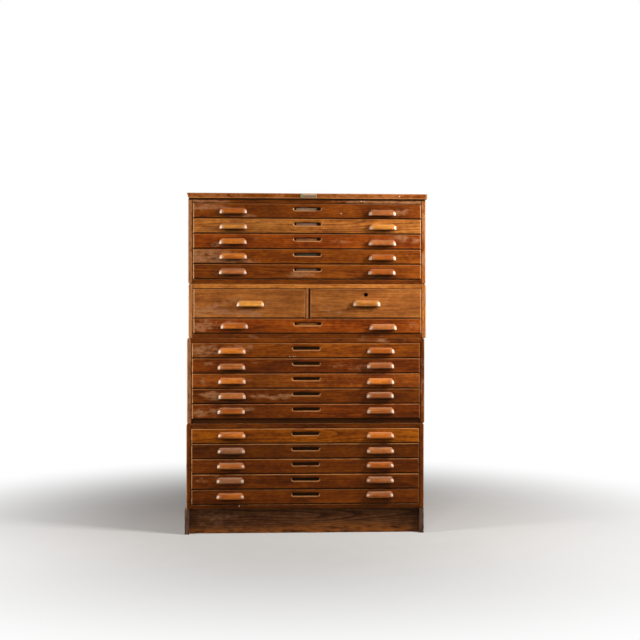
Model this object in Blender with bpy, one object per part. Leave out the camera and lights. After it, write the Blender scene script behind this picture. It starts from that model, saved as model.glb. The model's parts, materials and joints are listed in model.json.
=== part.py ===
"""Oak flat file cabinet for large sheets: four stacked cases of drawers on a plinth.

Units are metres and +Z is up. The fronts face -Y, and every drawer slides out that way.
The origin is on the floor, in the middle of the whole cabinet's outline.
Cases are lettered a to d from the top down, and drawers are numbered from the top down.
"""

import math

import bmesh
import bpy
from mathutils import Vector

# Clearances
SEAT_GAP = 0.0003
OVERRUN = 0.010

# Cases
CASE_WIDTH = 1.180
CASE_DEPTH = 0.880
SIDE_BOARD = 0.022
SIDE_ROUND = 0.005
SIDE_EASE = 0.008
EASE_ROUND_SHARE = 0.65
TOP_RAIL = 0.023
BOTTOM_RAIL = 0.021
RAIL_DEPTH = 0.060
RAIL_ROUND = 0.0015
RAIL_SETBACK = 0.001
SUNK_RAIL_SETBACK = 0.007
BACK_PANEL = 0.006
PANEL_HOUSING = 0.003
TENON = 0.008
STILE = 0.020
STILE_SETBACK = 0.003
WEB_CLEARANCE = 0.0045

# Runners that the drawers slide on
RUNNER_HEIGHT = 0.012
RUNNER_REACH = 0.009
RUNNER_HOUSING = 0.003
RUNNER_END_GAP = 0.001
RUNNER_PLAY = 0.001
RUNNER_PLACE_SHARE = 0.5

# Drawer fronts
FLAT_FRONT_HEIGHT = 0.0734
DEEP_FRONT_HEIGHT = 0.1456
FRONT_THICKNESS = 0.020
FRONT_GAP = 0.002
FRONT_ROUND = 0.0045
MOST_PROUD = 0.006

# Drawer boxes behind the fronts
BOX_SIDE = 0.014
BOX_BACK = 0.012
BOX_BOTTOM = 0.005
BOX_RISE = 0.006
BOX_DROP = 0.011
BOX_SIDE_GAP = 0.003
BOX_BACK_GAP = 0.010
BOTTOM_RISE = 0.007
BOX_HOUSING = 0.005
FRONT_LAP = 0.008

# Label slots, one in the middle of each flat front
SLOT_WIDTH = 0.134
SLOT_HEIGHT = 0.014
SLOT_ROUND = 0.0065
SLOT_BACKING = 0.005
SLOT_LIFT_SHARE = 0.15

# Lock hole in the right-hand deep front
LOCK_BORE = 0.020
LOCK_ROUND = 0.0015
LOCK_DROP = 0.028

# Wooden pulls
PULL_WIDTH = 0.136
PULL_TOP_WIDTH = 0.131
PULL_HEIGHT = 0.030
PULL_REACH = 0.028
PULL_TOP_REACH = 0.004
PULL_CORNER = 0.014
PULL_CORNER_SHARE = 0.8
PULL_UNDERCUT = 0.008
PULL_LIP = 0.005
PULL_LIP_SHARE = 0.25
PULL_SHOULDER = 0.0135
PULL_SHOULDER_SHARE = 0.3
PULL_FULLNESS_SHARE = 0.36
PULL_PLACE_SHARE = 0.654

# Top board and its name plate
TOP_BOARD = 0.025
TOP_OVERHANG = 0.006
TOP_FRONT_OVERHANG = 0.010
TOP_ROUND = 0.002
PLATE_WIDTH = 0.081
PLATE_MARGIN = 0.00175
PLATE_THICKNESS = 0.0015
PLATE_CORNER = 0.0015
PLATE_OFFSET = 0.005

# Plinth
BASE_HEIGHT = 0.124
BASE_REACH = 0.004
END_BOARD = 0.022
BASE_ROUND = 0.003
TOE_BOARD = 0.020
TOE_SETBACK = 0.025
TOE_CLEARANCE = 0.002
BASE_RAIL = 0.018

# How far the stacked pieces stand to the right, as shares of the largest shift
MOST_SHIFT = 0.010
SHIFT_SHARE = {"top": 0.8, "a": 0.8, "b": 1.0, "c": 0.3, "d": 0.0, "base": -0.4}

# How far each drawer stands out of its case, as shares of the most
PROUD_SHARE = {
    "a1": 0.35, "a2": 0.70, "a3": 0.45, "a4": 0.30, "a5": 0.50,
    "b_left": 0.30, "b_right": 0.40, "b_flat": 0.75,
    "c1": 0.45, "c2": 0.60, "c3": 0.40, "c4": 0.30, "c5": 1.00,
    "d1": 0.60, "d2": 0.45, "d3": 0.30, "d4": 0.80, "d5": 0.00,
}

# How far each pull sits to the right and up of its usual place, from the left, as shares of the most
MOST_PULL_SHIFT = 0.010
PULL_SHIFT_SHARES = {
    "a1": ((0.28, -0.10), (0.09, -0.77)),
    "a2": ((0.28, -0.08), (0.32, -0.27)),
    "a3": ((0.12, -0.08), (0.08, -0.55)),
    "a4": ((0.27, 0.19), (0.13, -0.28)),
    "a5": ((0.08, 0.08), (-0.11, 0.05)),
    "b_left": ((0.40, -0.05),),
    "b_right": ((0.27, 0.19),),
    "b_flat": ((0.68, 0.16), (0.31, -0.40)),
    "c1": ((0.18, -0.08), (-0.05, 0.02)),
    "c2": ((-0.02, -0.39), (-0.23, 0.17)),
    "c3": ((0.25, 0.14), (-0.18, -0.15)),
    "c4": ((0.28, 0.25), (-0.36, 0.50)),
    "c5": ((-0.12, 0.43), (-0.20, 0.45)),
    "d1": ((0.39, 0.58), (0.09, 0.29)),
    "d2": ((0.20, 0.36), (0.05, 0.27)),
    "d3": ((0.00, 0.51), (-0.02, 0.61)),
    "d4": ((-0.24, 0.77), (-0.06, 0.83)),
    "d5": ((-0.25, 0.53), (-0.19, 0.97)),
}

# Cases from the floor up, each with its rows of drawers from the top down
CASES = {
    "d": ("flat", "flat", "flat", "flat", "flat"),
    "c": ("flat", "flat", "flat", "flat", "flat"),
    "b": ("deep", "flat"),
    "a": ("flat", "flat", "flat", "flat", "flat"),
}
SUNK_RAIL_CASES = ("c",)

# How finely the round shapes are faceted
ROUND_STEPS = 2
EASE_STEPS = 3
SLOT_ARC_STEPS = 7
BORE_STEPS = 24
FLARE_STEPS = 2
PULL_CORNER_STEPS = 3
PULL_LIP_STEPS = 2
PULL_RING_STEPS = 6
SMOOTH_ANGLE = math.radians(50)
EVEN_ROUND_SHARE = 0.5

# Stains of the old oak, and the plate's metal, as linear red, green and blue
STAINS = {
    "honey": (0.33, 0.12, 0.030),
    "amber": (0.23, 0.068, 0.012),
    "russet": (0.19, 0.045, 0.008),
    "umber": (0.12, 0.030, 0.005),
    "walnut": (0.08, 0.022, 0.007),
    "pale": (0.58, 0.26, 0.075),
    "orange": (0.50, 0.17, 0.045),
    "tan": (0.36, 0.13, 0.05),
    "plinth": (0.075, 0.028, 0.010),
    "metal": (0.27, 0.18, 0.11),
}
WOOD_ROUGHNESS = 0.45
METAL_ROUGHNESS = 0.40
DRAWER_STAINS = {
    "a1": "amber", "a2": "honey", "a3": "russet", "a4": "amber", "a5": "amber",
    "b_left": "honey", "b_right": "honey", "b_flat": "russet",
    "c1": "amber", "c2": "umber", "c3": "amber", "c4": "umber", "c5": "umber",
    "d1": "amber", "d2": "walnut", "d3": "umber", "d4": "umber", "d5": "umber",
}
PULL_STAINS = {
    "a1": "orange", "a2": "pale", "a3": "orange", "a4": "orange", "a5": "tan",
    "b_left": "pale", "b_right": "pale", "b_flat": "orange",
    "c1": "orange", "c2": "orange", "c3": "orange", "c4": "tan", "c5": "orange",
    "d1": "pale", "d2": "tan", "d3": "tan", "d4": "tan", "d5": "tan",
}
CASE_STAINS = {"a": "amber", "b": "honey", "c": "umber", "d": "umber"}

# Sizes that follow from the ones above
OPENING_WIDTH = CASE_WIDTH - 2 * SIDE_BOARD
STOP_LINE = FRONT_THICKNESS + SEAT_GAP
PANEL_LINE = CASE_DEPTH - BACK_PANEL
DRAWER_LENGTH = PANEL_LINE - BOX_BACK_GAP
FRONT_HEIGHTS = {"flat": FLAT_FRONT_HEIGHT, "deep": DEEP_FRONT_HEIGHT}
BAY_WIDTHS = {"flat": OPENING_WIDTH, "deep": (OPENING_WIDTH - STILE) / 2}
TOP_WIDTH = CASE_WIDTH + 2 * TOP_OVERHANG
BASE_WIDTH = CASE_WIDTH + 2 * BASE_REACH


def clear_scene():
    """Remove whatever the open file holds."""
    for item in list(bpy.data.objects):
        bpy.data.objects.remove(item, do_unlink=True)


def stained(name, stain, metallic=0.0, roughness=WOOD_ROUGHNESS):
    """Make one piece's own material."""
    material = bpy.data.materials.new(name)
    material.use_nodes = True
    shader = material.node_tree.nodes["Principled BSDF"]
    shader.inputs["Base Color"].default_value = (*STAINS[stain], 1.0)
    shader.inputs["Roughness"].default_value = roughness
    shader.inputs["Metallic"].default_value = metallic
    return material


def place(name, mesh, stain, location=(0.0, 0.0, 0.0), parent=None, **finish):
    """Put a mesh into the scene as a named piece with its own material."""
    piece = bpy.data.objects.new(name, mesh)
    bpy.context.scene.collection.objects.link(piece)
    piece.location = location
    piece.parent = parent
    if not mesh.materials:
        mesh.materials.append(None)
    piece.material_slots[0].link = "OBJECT"
    piece.material_slots[0].material = stained(name, stain, **finish)
    return piece


def finished(bm, name="shape"):
    """Turn a bmesh into a mesh whose faces all point out."""
    bmesh.ops.recalc_face_normals(bm, faces=bm.faces)
    mesh = bpy.data.meshes.new(name)
    bm.to_mesh(mesh)
    bm.free()
    return mesh


def on_front(edge):
    """Say whether an edge lies in its block's front face."""
    front = min(vert.co.y for face in edge.link_faces for vert in face.verts)
    return all(vert.co.y == front for vert in edge.verts)


def beyond(edge, side, line):
    """Say whether an edge reaches farther to its side than this line in X."""
    return max(side * vert.co.x for vert in edge.verts) > side * line + SEAT_GAP


def on_front_across(edge):
    """Say whether an edge lies in the front face and runs along X."""
    return on_front(edge) and edge.verts[0].co.z == edge.verts[1].co.z


def on_front_upright(edge):
    """Say whether an edge lies in the front face and runs along Z."""
    return on_front(edge) and edge.verts[0].co.x == edge.verts[1].co.x


def along_depth(edge):
    """Say whether an edge runs along Y."""
    return edge.verts[0].co.y != edge.verts[1].co.y


def rounded_over(mesh, radius, chosen=on_front):
    """Round over the chosen edges of a mesh."""
    bm = bmesh.new()
    bm.from_mesh(mesh)
    edges = [edge for edge in bm.edges if chosen(edge)]
    bmesh.ops.bevel(bm, geom=edges, offset=radius, segments=ROUND_STEPS,
                    profile=EVEN_ROUND_SHARE, affect="EDGES", clamp_overlap=True)
    return finished(bm)


def blocks(*corners, radius=0.0, rounded=on_front):
    """Make separate boxes in one mesh, each from its low and high corner."""
    bm = bmesh.new()
    for low, high in corners:
        made = bmesh.ops.create_cube(bm, size=1.0)["verts"]
        for vert in made:
            for axis in range(3):
                vert.co[axis] = high[axis] if vert.co[axis] > 0.0 else low[axis]
    mesh = finished(bm)
    return rounded_over(mesh, radius, rounded) if radius > 0.0 else mesh


def extruded(outline, front, back):
    """Push an outline of (x, z) points back along Y."""
    return loft([[(x, y, z) for x, z in outline] for y in (front, back)])


def loft(rings):
    """Skin a closed solid over rings that have equally many points."""
    bm = bmesh.new()
    layers = [[bm.verts.new(point) for point in ring] for ring in rings]
    count = len(rings[0])
    for lower, upper in zip(layers, layers[1:]):
        for at in range(count):
            after = (at + 1) % count
            bm.faces.new((lower[at], lower[after], upper[after], upper[at]))
    bm.faces.new(layers[0])
    bm.faces.new(layers[-1])
    return finished(bm)


def carved(base, joins=(), cuts=()):
    """Join meshes to the base and cut others from it, and return the one finished mesh."""
    steps = [("UNION", mesh) for mesh in joins] + [("DIFFERENCE", mesh) for mesh in cuts]
    body = bpy.data.objects.new("body", base)
    tools = [body]
    bpy.context.scene.collection.objects.link(body)
    for operation, mesh in steps:
        tool = bpy.data.objects.new("tool", mesh)
        bpy.context.scene.collection.objects.link(tool)
        tools.append(tool)
        modifier = body.modifiers.new(operation.lower(), "BOOLEAN")
        modifier.operation = operation
        modifier.solver = "EXACT"
        modifier.object = tool
    graph = bpy.context.evaluated_depsgraph_get()
    result = bpy.data.meshes.new_from_object(body.evaluated_get(graph))
    for tool in tools:
        bpy.data.objects.remove(tool, do_unlink=True)
    return result


def softened(mesh):
    """Shade the round faces smooth and keep the true edges sharp."""
    mesh.shade_smooth()
    mesh.set_sharp_from_angle(angle=SMOOTH_ANGLE)
    return mesh


def case_height(rows):
    """Height of a case that holds these rows of drawers."""
    fronts = sum(FRONT_HEIGHTS[kind] for kind in rows)
    return BOTTOM_RAIL + fronts + (len(rows) + 1) * FRONT_GAP + TOP_RAIL


def row_tops(rows):
    """Each row's kind, with how high the top edge of its fronts is in the case."""
    top = case_height(rows) - TOP_RAIL - FRONT_GAP
    for kind in rows:
        yield kind, top
        top -= FRONT_HEIGHTS[kind] + FRONT_GAP


def box_height(kind):
    """Height of the drawer box behind a front."""
    return FRONT_HEIGHTS[kind] - BOX_RISE - BOX_DROP


def runner_rise(kind):
    """How far the middle of a runner is above the foot of its drawer front."""
    return BOX_RISE + RUNNER_PLACE_SHARE * box_height(kind)


def bays(kind):
    """Middle of each bay in a row, from left to right."""
    if kind == "flat":
        return (0.0,)
    step = (STILE + BAY_WIDTHS["deep"]) / 2
    return (-step, step)


def runner_blocks(rows):
    """Runners on both sides of each bay, let into the boards that carry them."""
    corners = []
    for kind, top in row_tops(rows):
        middle = top - FRONT_HEIGHTS[kind] + runner_rise(kind)
        for bay in bays(kind):
            for side in (-1, 1):
                wall = bay + side * BAY_WIDTHS[kind] / 2
                near = wall - side * RUNNER_REACH
                far = wall + side * RUNNER_HOUSING
                low = (min(near, far), STOP_LINE, middle - RUNNER_HEIGHT / 2)
                high = (max(near, far), PANEL_LINE + PANEL_HOUSING, middle + RUNNER_HEIGHT / 2)
                corners.append((low, high))
    return corners


def rail_blocks(low_z, high_z, front):
    """A front rail and a back rail, tenoned between the side boards."""
    reach = OPENING_WIDTH / 2 + TENON
    back = PANEL_LINE + PANEL_HOUSING
    return [
        ((-reach, front, low_z), (reach, front + RAIL_DEPTH, high_z)),
        ((-reach, PANEL_LINE - RAIL_DEPTH, low_z), (reach, back, high_z)),
    ]


def divider_pieces(rows):
    """The upright board between two deep drawers, its front stile, and the rails at its foot."""
    tops = dict(row_tops(rows))
    deep_foot = tops["deep"] - DEEP_FRONT_HEIGHT
    web_low = tops["flat"] - BOX_DROP + WEB_CLEARANCE
    web_high = deep_foot + BOX_RISE - WEB_CLEARANCE
    head = case_height(rows) - TOP_RAIL / 2
    rails = blocks(*rail_blocks(web_low, web_high, STOP_LINE))
    board = blocks((
        (-STILE / 2, STOP_LINE, (web_low + web_high) / 2),
        (STILE / 2, PANEL_LINE + PANEL_HOUSING, head),
    ))
    stile = blocks((
        (-STILE / 2, STILE_SETBACK, deep_foot),
        (STILE / 2, STOP_LINE + RAIL_DEPTH / 2, head),
    ))
    return [rails, board, stile]


def side_mesh(side, height):
    """One side board of a case, with its two outer corners eased and its front rounded."""
    ease = min(SIDE_EASE, SIDE_BOARD / 2)
    inner = side * OPENING_WIDTH / 2
    middle = side * (CASE_WIDTH / 2 - ease)
    outline = [(inner, 0.0)]
    for start, level in ((-math.pi / 2, ease), (0.0, height - ease)):
        for step in range(EASE_STEPS + 1):
            turn = start + math.pi / 2 * step / EASE_STEPS
            x = middle + side * ease * math.cos(turn)
            outline.append((x, level + ease * math.sin(turn)))
    outline.append((inner, height))
    board = extruded(outline, 0.0, CASE_DEPTH)
    radius = min(SIDE_ROUND, SIDE_BOARD / 3, EASE_ROUND_SHARE * ease)
    return rounded_over(board, radius, lambda edge: on_front(edge) and beyond(edge, side, inner))


def case_mesh(letter, rows):
    """A case: side boards, rails, back panel and runners, glued into one piece."""
    height = case_height(rows)
    inner = OPENING_WIDTH / 2
    sunk = SUNK_RAIL_SETBACK if letter in SUNK_RAIL_CASES else RAIL_SETBACK
    rails = blocks(
        *rail_blocks(0.0, BOTTOM_RAIL, sunk),
        *rail_blocks(height - TOP_RAIL, height, RAIL_SETBACK),
        radius=min(RAIL_ROUND, TOP_RAIL / 3, BOTTOM_RAIL / 3), rounded=on_front_across,
    )
    panel = blocks(((-inner - TENON, PANEL_LINE, 0.0), (inner + TENON, CASE_DEPTH, height)))
    joins = [rails, side_mesh(1, height), panel]
    if "deep" in rows:
        joins += divider_pieces(rows)
    joins.append(blocks(*runner_blocks(rows)))
    return softened(carved(side_mesh(-1, height), joins))


def stadium(width, height, growth):
    """Round-ended outline in X and Z, grown outward all round."""
    radius = height / 2 + growth
    reach = (width - height) / 2
    points = []
    for start, middle in ((-math.pi / 2, reach), (math.pi / 2, -reach)):
        for step in range(SLOT_ARC_STEPS + 1):
            angle = start + math.pi * step / SLOT_ARC_STEPS
            points.append((middle + radius * math.cos(angle), radius * math.sin(angle)))
    return points


def circle(diameter, growth):
    """Round outline in X and Z, grown outward all round."""
    radius = diameter / 2 + growth
    turns = (2 * math.pi * step / BORE_STEPS for step in range(BORE_STEPS))
    return [(radius * math.cos(turn), radius * math.sin(turn)) for turn in turns]


def flared_cutter(outline, radius, depth, lift):
    """Cutter that goes into a front from y = 0, with its mouth rounded over."""
    rings = [(-OVERRUN, radius)]
    for step in range(FLARE_STEPS + 1):
        angle = math.pi / 2 * step / FLARE_STEPS
        rings.append((radius * (1 - math.cos(angle)), radius * (1 - math.sin(angle))))
    rings.append((depth, 0.0))
    return loft([[(x, y, z + lift) for x, z in outline(growth)] for y, growth in rings])


def box_side(kind, side, width):
    """One side of a drawer box, with the groove that rides on its runner."""
    outer = side * (width / 2 - BOX_SIDE_GAP)
    inner = outer - side * BOX_SIDE
    groove = outer - side * (RUNNER_REACH - BOX_SIDE_GAP + RUNNER_END_GAP)
    foot = BOX_RISE - FRONT_HEIGHTS[kind] / 2
    head = foot + box_height(kind)
    runner = runner_rise(kind) - FRONT_HEIGHTS[kind] / 2
    groove_head = runner + RUNNER_HEIGHT / 2 + SEAT_GAP
    groove_foot = runner - RUNNER_HEIGHT / 2 - RUNNER_PLAY
    outline = [
        (inner, foot), (outer, foot), (outer, groove_foot), (groove, groove_foot),
        (groove, groove_head), (outer, groove_head), (outer, head), (inner, head),
    ]
    return extruded(outline, FRONT_LAP, DRAWER_LENGTH)


def drawer_mesh(kind, has_lock=False):
    """A drawer: its front, with the box dovetailed and glued behind it."""
    bay = BAY_WIDTHS[kind]
    height = FRONT_HEIGHTS[kind]
    half = bay / 2 - FRONT_GAP
    front = blocks(((-half, 0.0, -height / 2), (half, FRONT_THICKNESS, height / 2)),
                   radius=min(FRONT_ROUND, FRONT_THICKNESS / 3))
    inner = bay / 2 - BOX_SIDE_GAP - BOX_SIDE + BOX_HOUSING
    foot = BOX_RISE - height / 2
    bottom = blocks((
        (-inner, FRONT_THICKNESS - BOX_HOUSING, foot + BOTTOM_RISE),
        (inner, DRAWER_LENGTH - BOX_BACK / 2, foot + BOTTOM_RISE + BOX_BOTTOM),
    ))
    back = blocks((
        (-inner, DRAWER_LENGTH - BOX_BACK, foot),
        (inner, DRAWER_LENGTH, foot + box_height(kind)),
    ))
    cuts = []
    if kind == "flat":
        depth = FRONT_THICKNESS - SLOT_BACKING
        cuts.append(flared_cutter(lambda growth: stadium(SLOT_WIDTH, SLOT_HEIGHT, growth),
                                  SLOT_ROUND, depth, SLOT_LIFT_SHARE * height))
    if has_lock:
        depth = FRONT_THICKNESS + OVERRUN
        cuts.append(flared_cutter(lambda growth: circle(LOCK_BORE, growth),
                                  LOCK_ROUND, depth, height / 2 - LOCK_DROP))
    sides = [box_side(kind, side, bay) for side in (-1, 1)]
    return softened(carved(front, [*sides, back, bottom], cuts))


def pull_ring(height_share):
    """Outline of a pull at one height, from its left end round the nose to its right."""
    risen_share = max(0.0, (height_share - PULL_LIP_SHARE) / (1 - PULL_LIP_SHARE))
    bulge = (1 - risen_share ** (1 / PULL_FULLNESS_SHARE)) ** PULL_FULLNESS_SHARE
    under_share = max(0.0, 1 - height_share / PULL_LIP_SHARE)
    lip = PULL_LIP * (1 - math.sqrt(1 - under_share ** 2))
    reach = PULL_TOP_REACH + (PULL_REACH - PULL_TOP_REACH) * bulge - lip
    turned_share = max(0.0, (height_share - PULL_SHOULDER_SHARE) / (1 - PULL_SHOULDER_SHARE))
    shoulder = PULL_SHOULDER * (1 - math.sqrt(1 - turned_share ** 2))
    half = (PULL_WIDTH + (PULL_TOP_WIDTH - PULL_WIDTH) * height_share) / 2 - shoulder
    corner = min(PULL_CORNER, PULL_CORNER_SHARE * reach)
    level = (height_share - 0.5) * PULL_HEIGHT
    quarter = [math.pi / 2 * step / PULL_CORNER_STEPS for step in range(PULL_CORNER_STEPS + 1)]
    points = [(-half, -SEAT_GAP, level)]
    for side, turns in ((-1, quarter), (1, quarter[::-1])):
        for turn in turns:
            x = side * (half - corner + corner * math.cos(turn))
            points.append((x, corner - SEAT_GAP - reach - corner * math.sin(turn), level))
    points.append((half, -SEAT_GAP, level))
    return points


def pull_mesh():
    """A wooden pull: a rounded hood whose underside slopes up to the drawer front."""
    shares = []
    for step in range(PULL_LIP_STEPS):
        angle = math.pi / 2 * (1 - step / PULL_LIP_STEPS)
        shares.append(PULL_LIP_SHARE * (1 - math.sin(angle)))
    for step in range(PULL_RING_STEPS + 1):
        angle = math.pi / 2 * step / PULL_RING_STEPS
        shares.append(PULL_LIP_SHARE + (1 - PULL_LIP_SHARE) * math.sin(angle))
    bm = bmesh.new()
    bm.from_mesh(loft([pull_ring(height_share) for height_share in shares]))
    nose = Vector((0.0, -SEAT_GAP - PULL_REACH + PULL_LIP, -PULL_HEIGHT / 2))
    slope = Vector((0.0, PULL_UNDERCUT, -PULL_REACH))
    whole = bm.verts[:] + bm.edges[:] + bm.faces[:]
    cut = bmesh.ops.bisect_plane(bm, geom=whole, plane_co=nose, plane_no=slope,
                                 clear_outer=True, dist=SEAT_GAP / 10)["geom_cut"]
    rim = [item for item in cut if isinstance(item, bmesh.types.BMEdge)]
    bmesh.ops.contextual_create(bm, geom=rim)
    return softened(finished(bm))


def base_mesh():
    """The plinth's frame: two end boards, a back board and two cross rails."""
    outer = BASE_WIDTH / 2
    inner = outer - END_BOARD
    reach = inner + TENON
    ends = blocks(
        ((-outer, 0.0, 0.0), (-inner, CASE_DEPTH, BASE_HEIGHT)),
        ((inner, 0.0, 0.0), (outer, CASE_DEPTH, BASE_HEIGHT)),
        radius=min(BASE_ROUND, END_BOARD / 3), rounded=on_front_upright,
    )
    low = BASE_HEIGHT - BASE_RAIL
    toe_back = TOE_SETBACK + TOE_BOARD + SEAT_GAP
    rails = blocks(
        ((-reach, toe_back, low), (reach, toe_back + RAIL_DEPTH, BASE_HEIGHT)),
        ((-reach, CASE_DEPTH - RAIL_DEPTH, low), (reach, CASE_DEPTH, BASE_HEIGHT)),
    )
    board = blocks(((-reach, CASE_DEPTH - TOE_BOARD, 0.0), (reach, CASE_DEPTH, BASE_HEIGHT)))
    return softened(carved(ends, [rails, board]))


def toe_mesh():
    """The board set back between the end boards, under the lowest case."""
    half = BASE_WIDTH / 2 - END_BOARD - SEAT_GAP
    return blocks((
        (-half, TOE_SETBACK, TOE_CLEARANCE),
        (half, TOE_SETBACK + TOE_BOARD, BASE_HEIGHT),
    ))


def top_mesh():
    """The top board, which reaches past the cases at its ends and front."""
    half = TOP_WIDTH / 2
    return softened(blocks(((-half, -TOP_FRONT_OVERHANG, 0.0), (half, CASE_DEPTH, TOP_BOARD)),
                           radius=min(TOP_ROUND, TOP_BOARD / 3)))


def plate_mesh():
    """The blank name plate on the top board's front edge."""
    half = PLATE_WIDTH / 2
    face = -TOP_FRONT_OVERHANG - SEAT_GAP
    return softened(blocks(((-half, face - PLATE_THICKNESS, PLATE_MARGIN),
                            (half, face, TOP_BOARD - PLATE_MARGIN)),
                           radius=PLATE_CORNER, rounded=along_depth))


def footprint_middle():
    """Middle of the whole cabinet's outline, seen from above."""
    widths = {"top": TOP_WIDTH, "base": BASE_WIDTH, **{letter: CASE_WIDTH for letter in CASES}}
    lefts = [MOST_SHIFT * SHIFT_SHARE[key] - width / 2 for key, width in widths.items()]
    rights = [MOST_SHIFT * SHIFT_SHARE[key] + width / 2 for key, width in widths.items()]
    nose = MOST_PROUD * max(PROUD_SHARE.values()) + SEAT_GAP + PULL_REACH
    plate = TOP_FRONT_OVERHANG + SEAT_GAP + PLATE_THICKNESS
    return (min(lefts) + max(rights)) / 2, (CASE_DEPTH - max(nose, plate)) / 2


def drawer_names(letter, rows):
    """Each drawer's short name, kind, bay and front top, from the top down."""
    singles = 0
    for kind, top in row_tops(rows):
        singles += 1
        for bay in bays(kind):
            if kind == "deep":
                name = letter + ("_left" if bay < 0.0 else "_right")
            elif "deep" in rows:
                name = letter + "_flat"
            else:
                name = letter + str(singles)
            yield name, kind, bay, top


def add_pulls(name, kind, drawer, pull):
    """Two pulls on a flat drawer, and one in the middle of a deep one."""
    stain = PULL_STAINS[name]
    reach = PULL_PLACE_SHARE * (BAY_WIDTHS[kind] / 2 - FRONT_GAP)
    places = [("_left", -reach), ("_right", reach)] if kind == "flat" else [("", 0.0)]
    for (ending, middle), (right_share, up_share) in zip(places, PULL_SHIFT_SHARES[name]):
        spot = (middle + MOST_PULL_SHIFT * right_share, 0.0, MOST_PULL_SHIFT * up_share)
        place("pull_" + name + ending, pull, stain, spot, drawer)


def add_case(letter, rows, floor, cabinet, drawers, pull):
    """A case with its drawers in it and their pulls on."""
    shift = MOST_SHIFT * SHIFT_SHARE[letter]
    case = place("case_" + letter, case_mesh(letter, rows), CASE_STAINS[letter],
                 (shift, 0.0, floor), cabinet)
    for name, kind, bay, top in drawer_names(letter, rows):
        key = "lock" if name == "b_right" else kind
        proud = MOST_PROUD * PROUD_SHARE[name]
        middle = top - FRONT_HEIGHTS[kind] / 2
        drawer = place("drawer_" + name, drawers[key], DRAWER_STAINS[name],
                       (bay, -proud, middle), case)
        add_pulls(name, kind, drawer, pull)


def build():
    """Stack the plinth, the four cases and the top board."""
    clear_scene()
    cabinet = bpy.data.objects.new("cabinet", None)
    bpy.context.scene.collection.objects.link(cabinet)
    middle_x, middle_y = footprint_middle()
    cabinet.location = (-middle_x, -middle_y, 0.0)
    base_place = (MOST_SHIFT * SHIFT_SHARE["base"], 0.0, 0.0)
    place("base", base_mesh(), "plinth", base_place, cabinet)
    place("toe_board", toe_mesh(), "plinth", base_place, cabinet)
    drawers = {"flat": drawer_mesh("flat"), "deep": drawer_mesh("deep"),
               "lock": drawer_mesh("deep", has_lock=True)}
    pull = pull_mesh()
    floor = BASE_HEIGHT + SEAT_GAP
    for letter, rows in CASES.items():
        add_case(letter, rows, floor, cabinet, drawers, pull)
        floor += case_height(rows) + SEAT_GAP
    shift = MOST_SHIFT * SHIFT_SHARE["top"]
    place("top_board", top_mesh(), "amber", (shift, 0.0, floor), cabinet)
    place("name_plate", plate_mesh(), "metal", (shift + PLATE_OFFSET, 0.0, floor), cabinet,
          metallic=1.0, roughness=METAL_ROUGHNESS)


build()
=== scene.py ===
# %% [markdown]
# # Dressing an old oak flat file
# A flat file keeps large sheets lying flat in shallow drawers. This one is a stack: a plinth, four
# cases with eighteen drawers, and a top board. The imported model already has every piece in its place
# and at its size. This lesson gives the cabinet its looks. It makes the glued-up pieces again board
# by board, so that each board has its own grain, and finishes them with materials made of nodes.
#
# The first cell opens the model. The looks may not make it any larger.

import json
import random
from collections import namedtuple
from math import cos, exp, pi, radians, sin, sqrt

import bmesh
import bpy
from mathutils import Matrix, Vector

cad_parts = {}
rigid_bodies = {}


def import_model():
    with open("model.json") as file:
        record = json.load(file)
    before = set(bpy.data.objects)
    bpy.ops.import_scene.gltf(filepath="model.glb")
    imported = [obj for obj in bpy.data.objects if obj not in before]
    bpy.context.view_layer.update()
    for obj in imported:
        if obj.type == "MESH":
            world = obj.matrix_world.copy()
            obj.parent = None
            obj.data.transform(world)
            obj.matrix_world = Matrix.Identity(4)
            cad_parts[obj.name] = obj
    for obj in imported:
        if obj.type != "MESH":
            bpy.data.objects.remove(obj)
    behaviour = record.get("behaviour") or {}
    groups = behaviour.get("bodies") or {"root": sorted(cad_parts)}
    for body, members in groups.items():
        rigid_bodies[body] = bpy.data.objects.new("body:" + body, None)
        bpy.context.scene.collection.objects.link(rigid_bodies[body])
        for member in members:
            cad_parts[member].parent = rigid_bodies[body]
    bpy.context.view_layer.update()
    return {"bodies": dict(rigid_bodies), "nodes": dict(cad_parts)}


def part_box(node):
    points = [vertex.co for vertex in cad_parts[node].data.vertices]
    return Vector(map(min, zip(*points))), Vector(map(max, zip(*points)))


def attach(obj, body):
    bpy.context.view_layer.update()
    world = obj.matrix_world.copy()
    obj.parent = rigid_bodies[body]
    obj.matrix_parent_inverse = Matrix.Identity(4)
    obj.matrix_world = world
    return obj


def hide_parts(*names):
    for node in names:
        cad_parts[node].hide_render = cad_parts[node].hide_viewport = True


Point = namedtuple("Point", "x y z")


def measured(node):
    """Two corners of a piece of the model, its middle and its half size."""
    low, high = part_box(node)
    middle = Point(*((a + b) / 2 for a, b in zip(low, high)))
    half = Point(*((b - a) / 2 for a, b in zip(low, high)))
    return low, high, middle, half


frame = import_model()
DRAWERS = sorted(body for body in frame["bodies"] if body.startswith("drawer_"))
print(len(frame["nodes"]), "pieces of the model,", len(DRAWERS), "of them drawers")

# %% [markdown]
# ## The camera
# The cabinet was seen with a short telephoto lens from a little over five metres, with the camera
# level at about 1.06 m, slightly left of the middle and turned a little to the right. A level camera
# keeps upright edges upright. The turns multiply from the left: a turn to the right, the level look
# along +Y, and a very small roll.

# %% Set up the camera
LENS = 60.0
SENSOR = 36.0
CAMERA_PLACE = (-0.188, -5.716, 1.061)
TURN_RIGHT = radians(2.763)
ROLL = radians(0.06)


def placed(name, data):
    """Make an object of this data, and put it into the scene."""
    thing = bpy.data.objects.new(name, data)
    bpy.context.scene.collection.objects.link(thing)
    return thing


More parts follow.
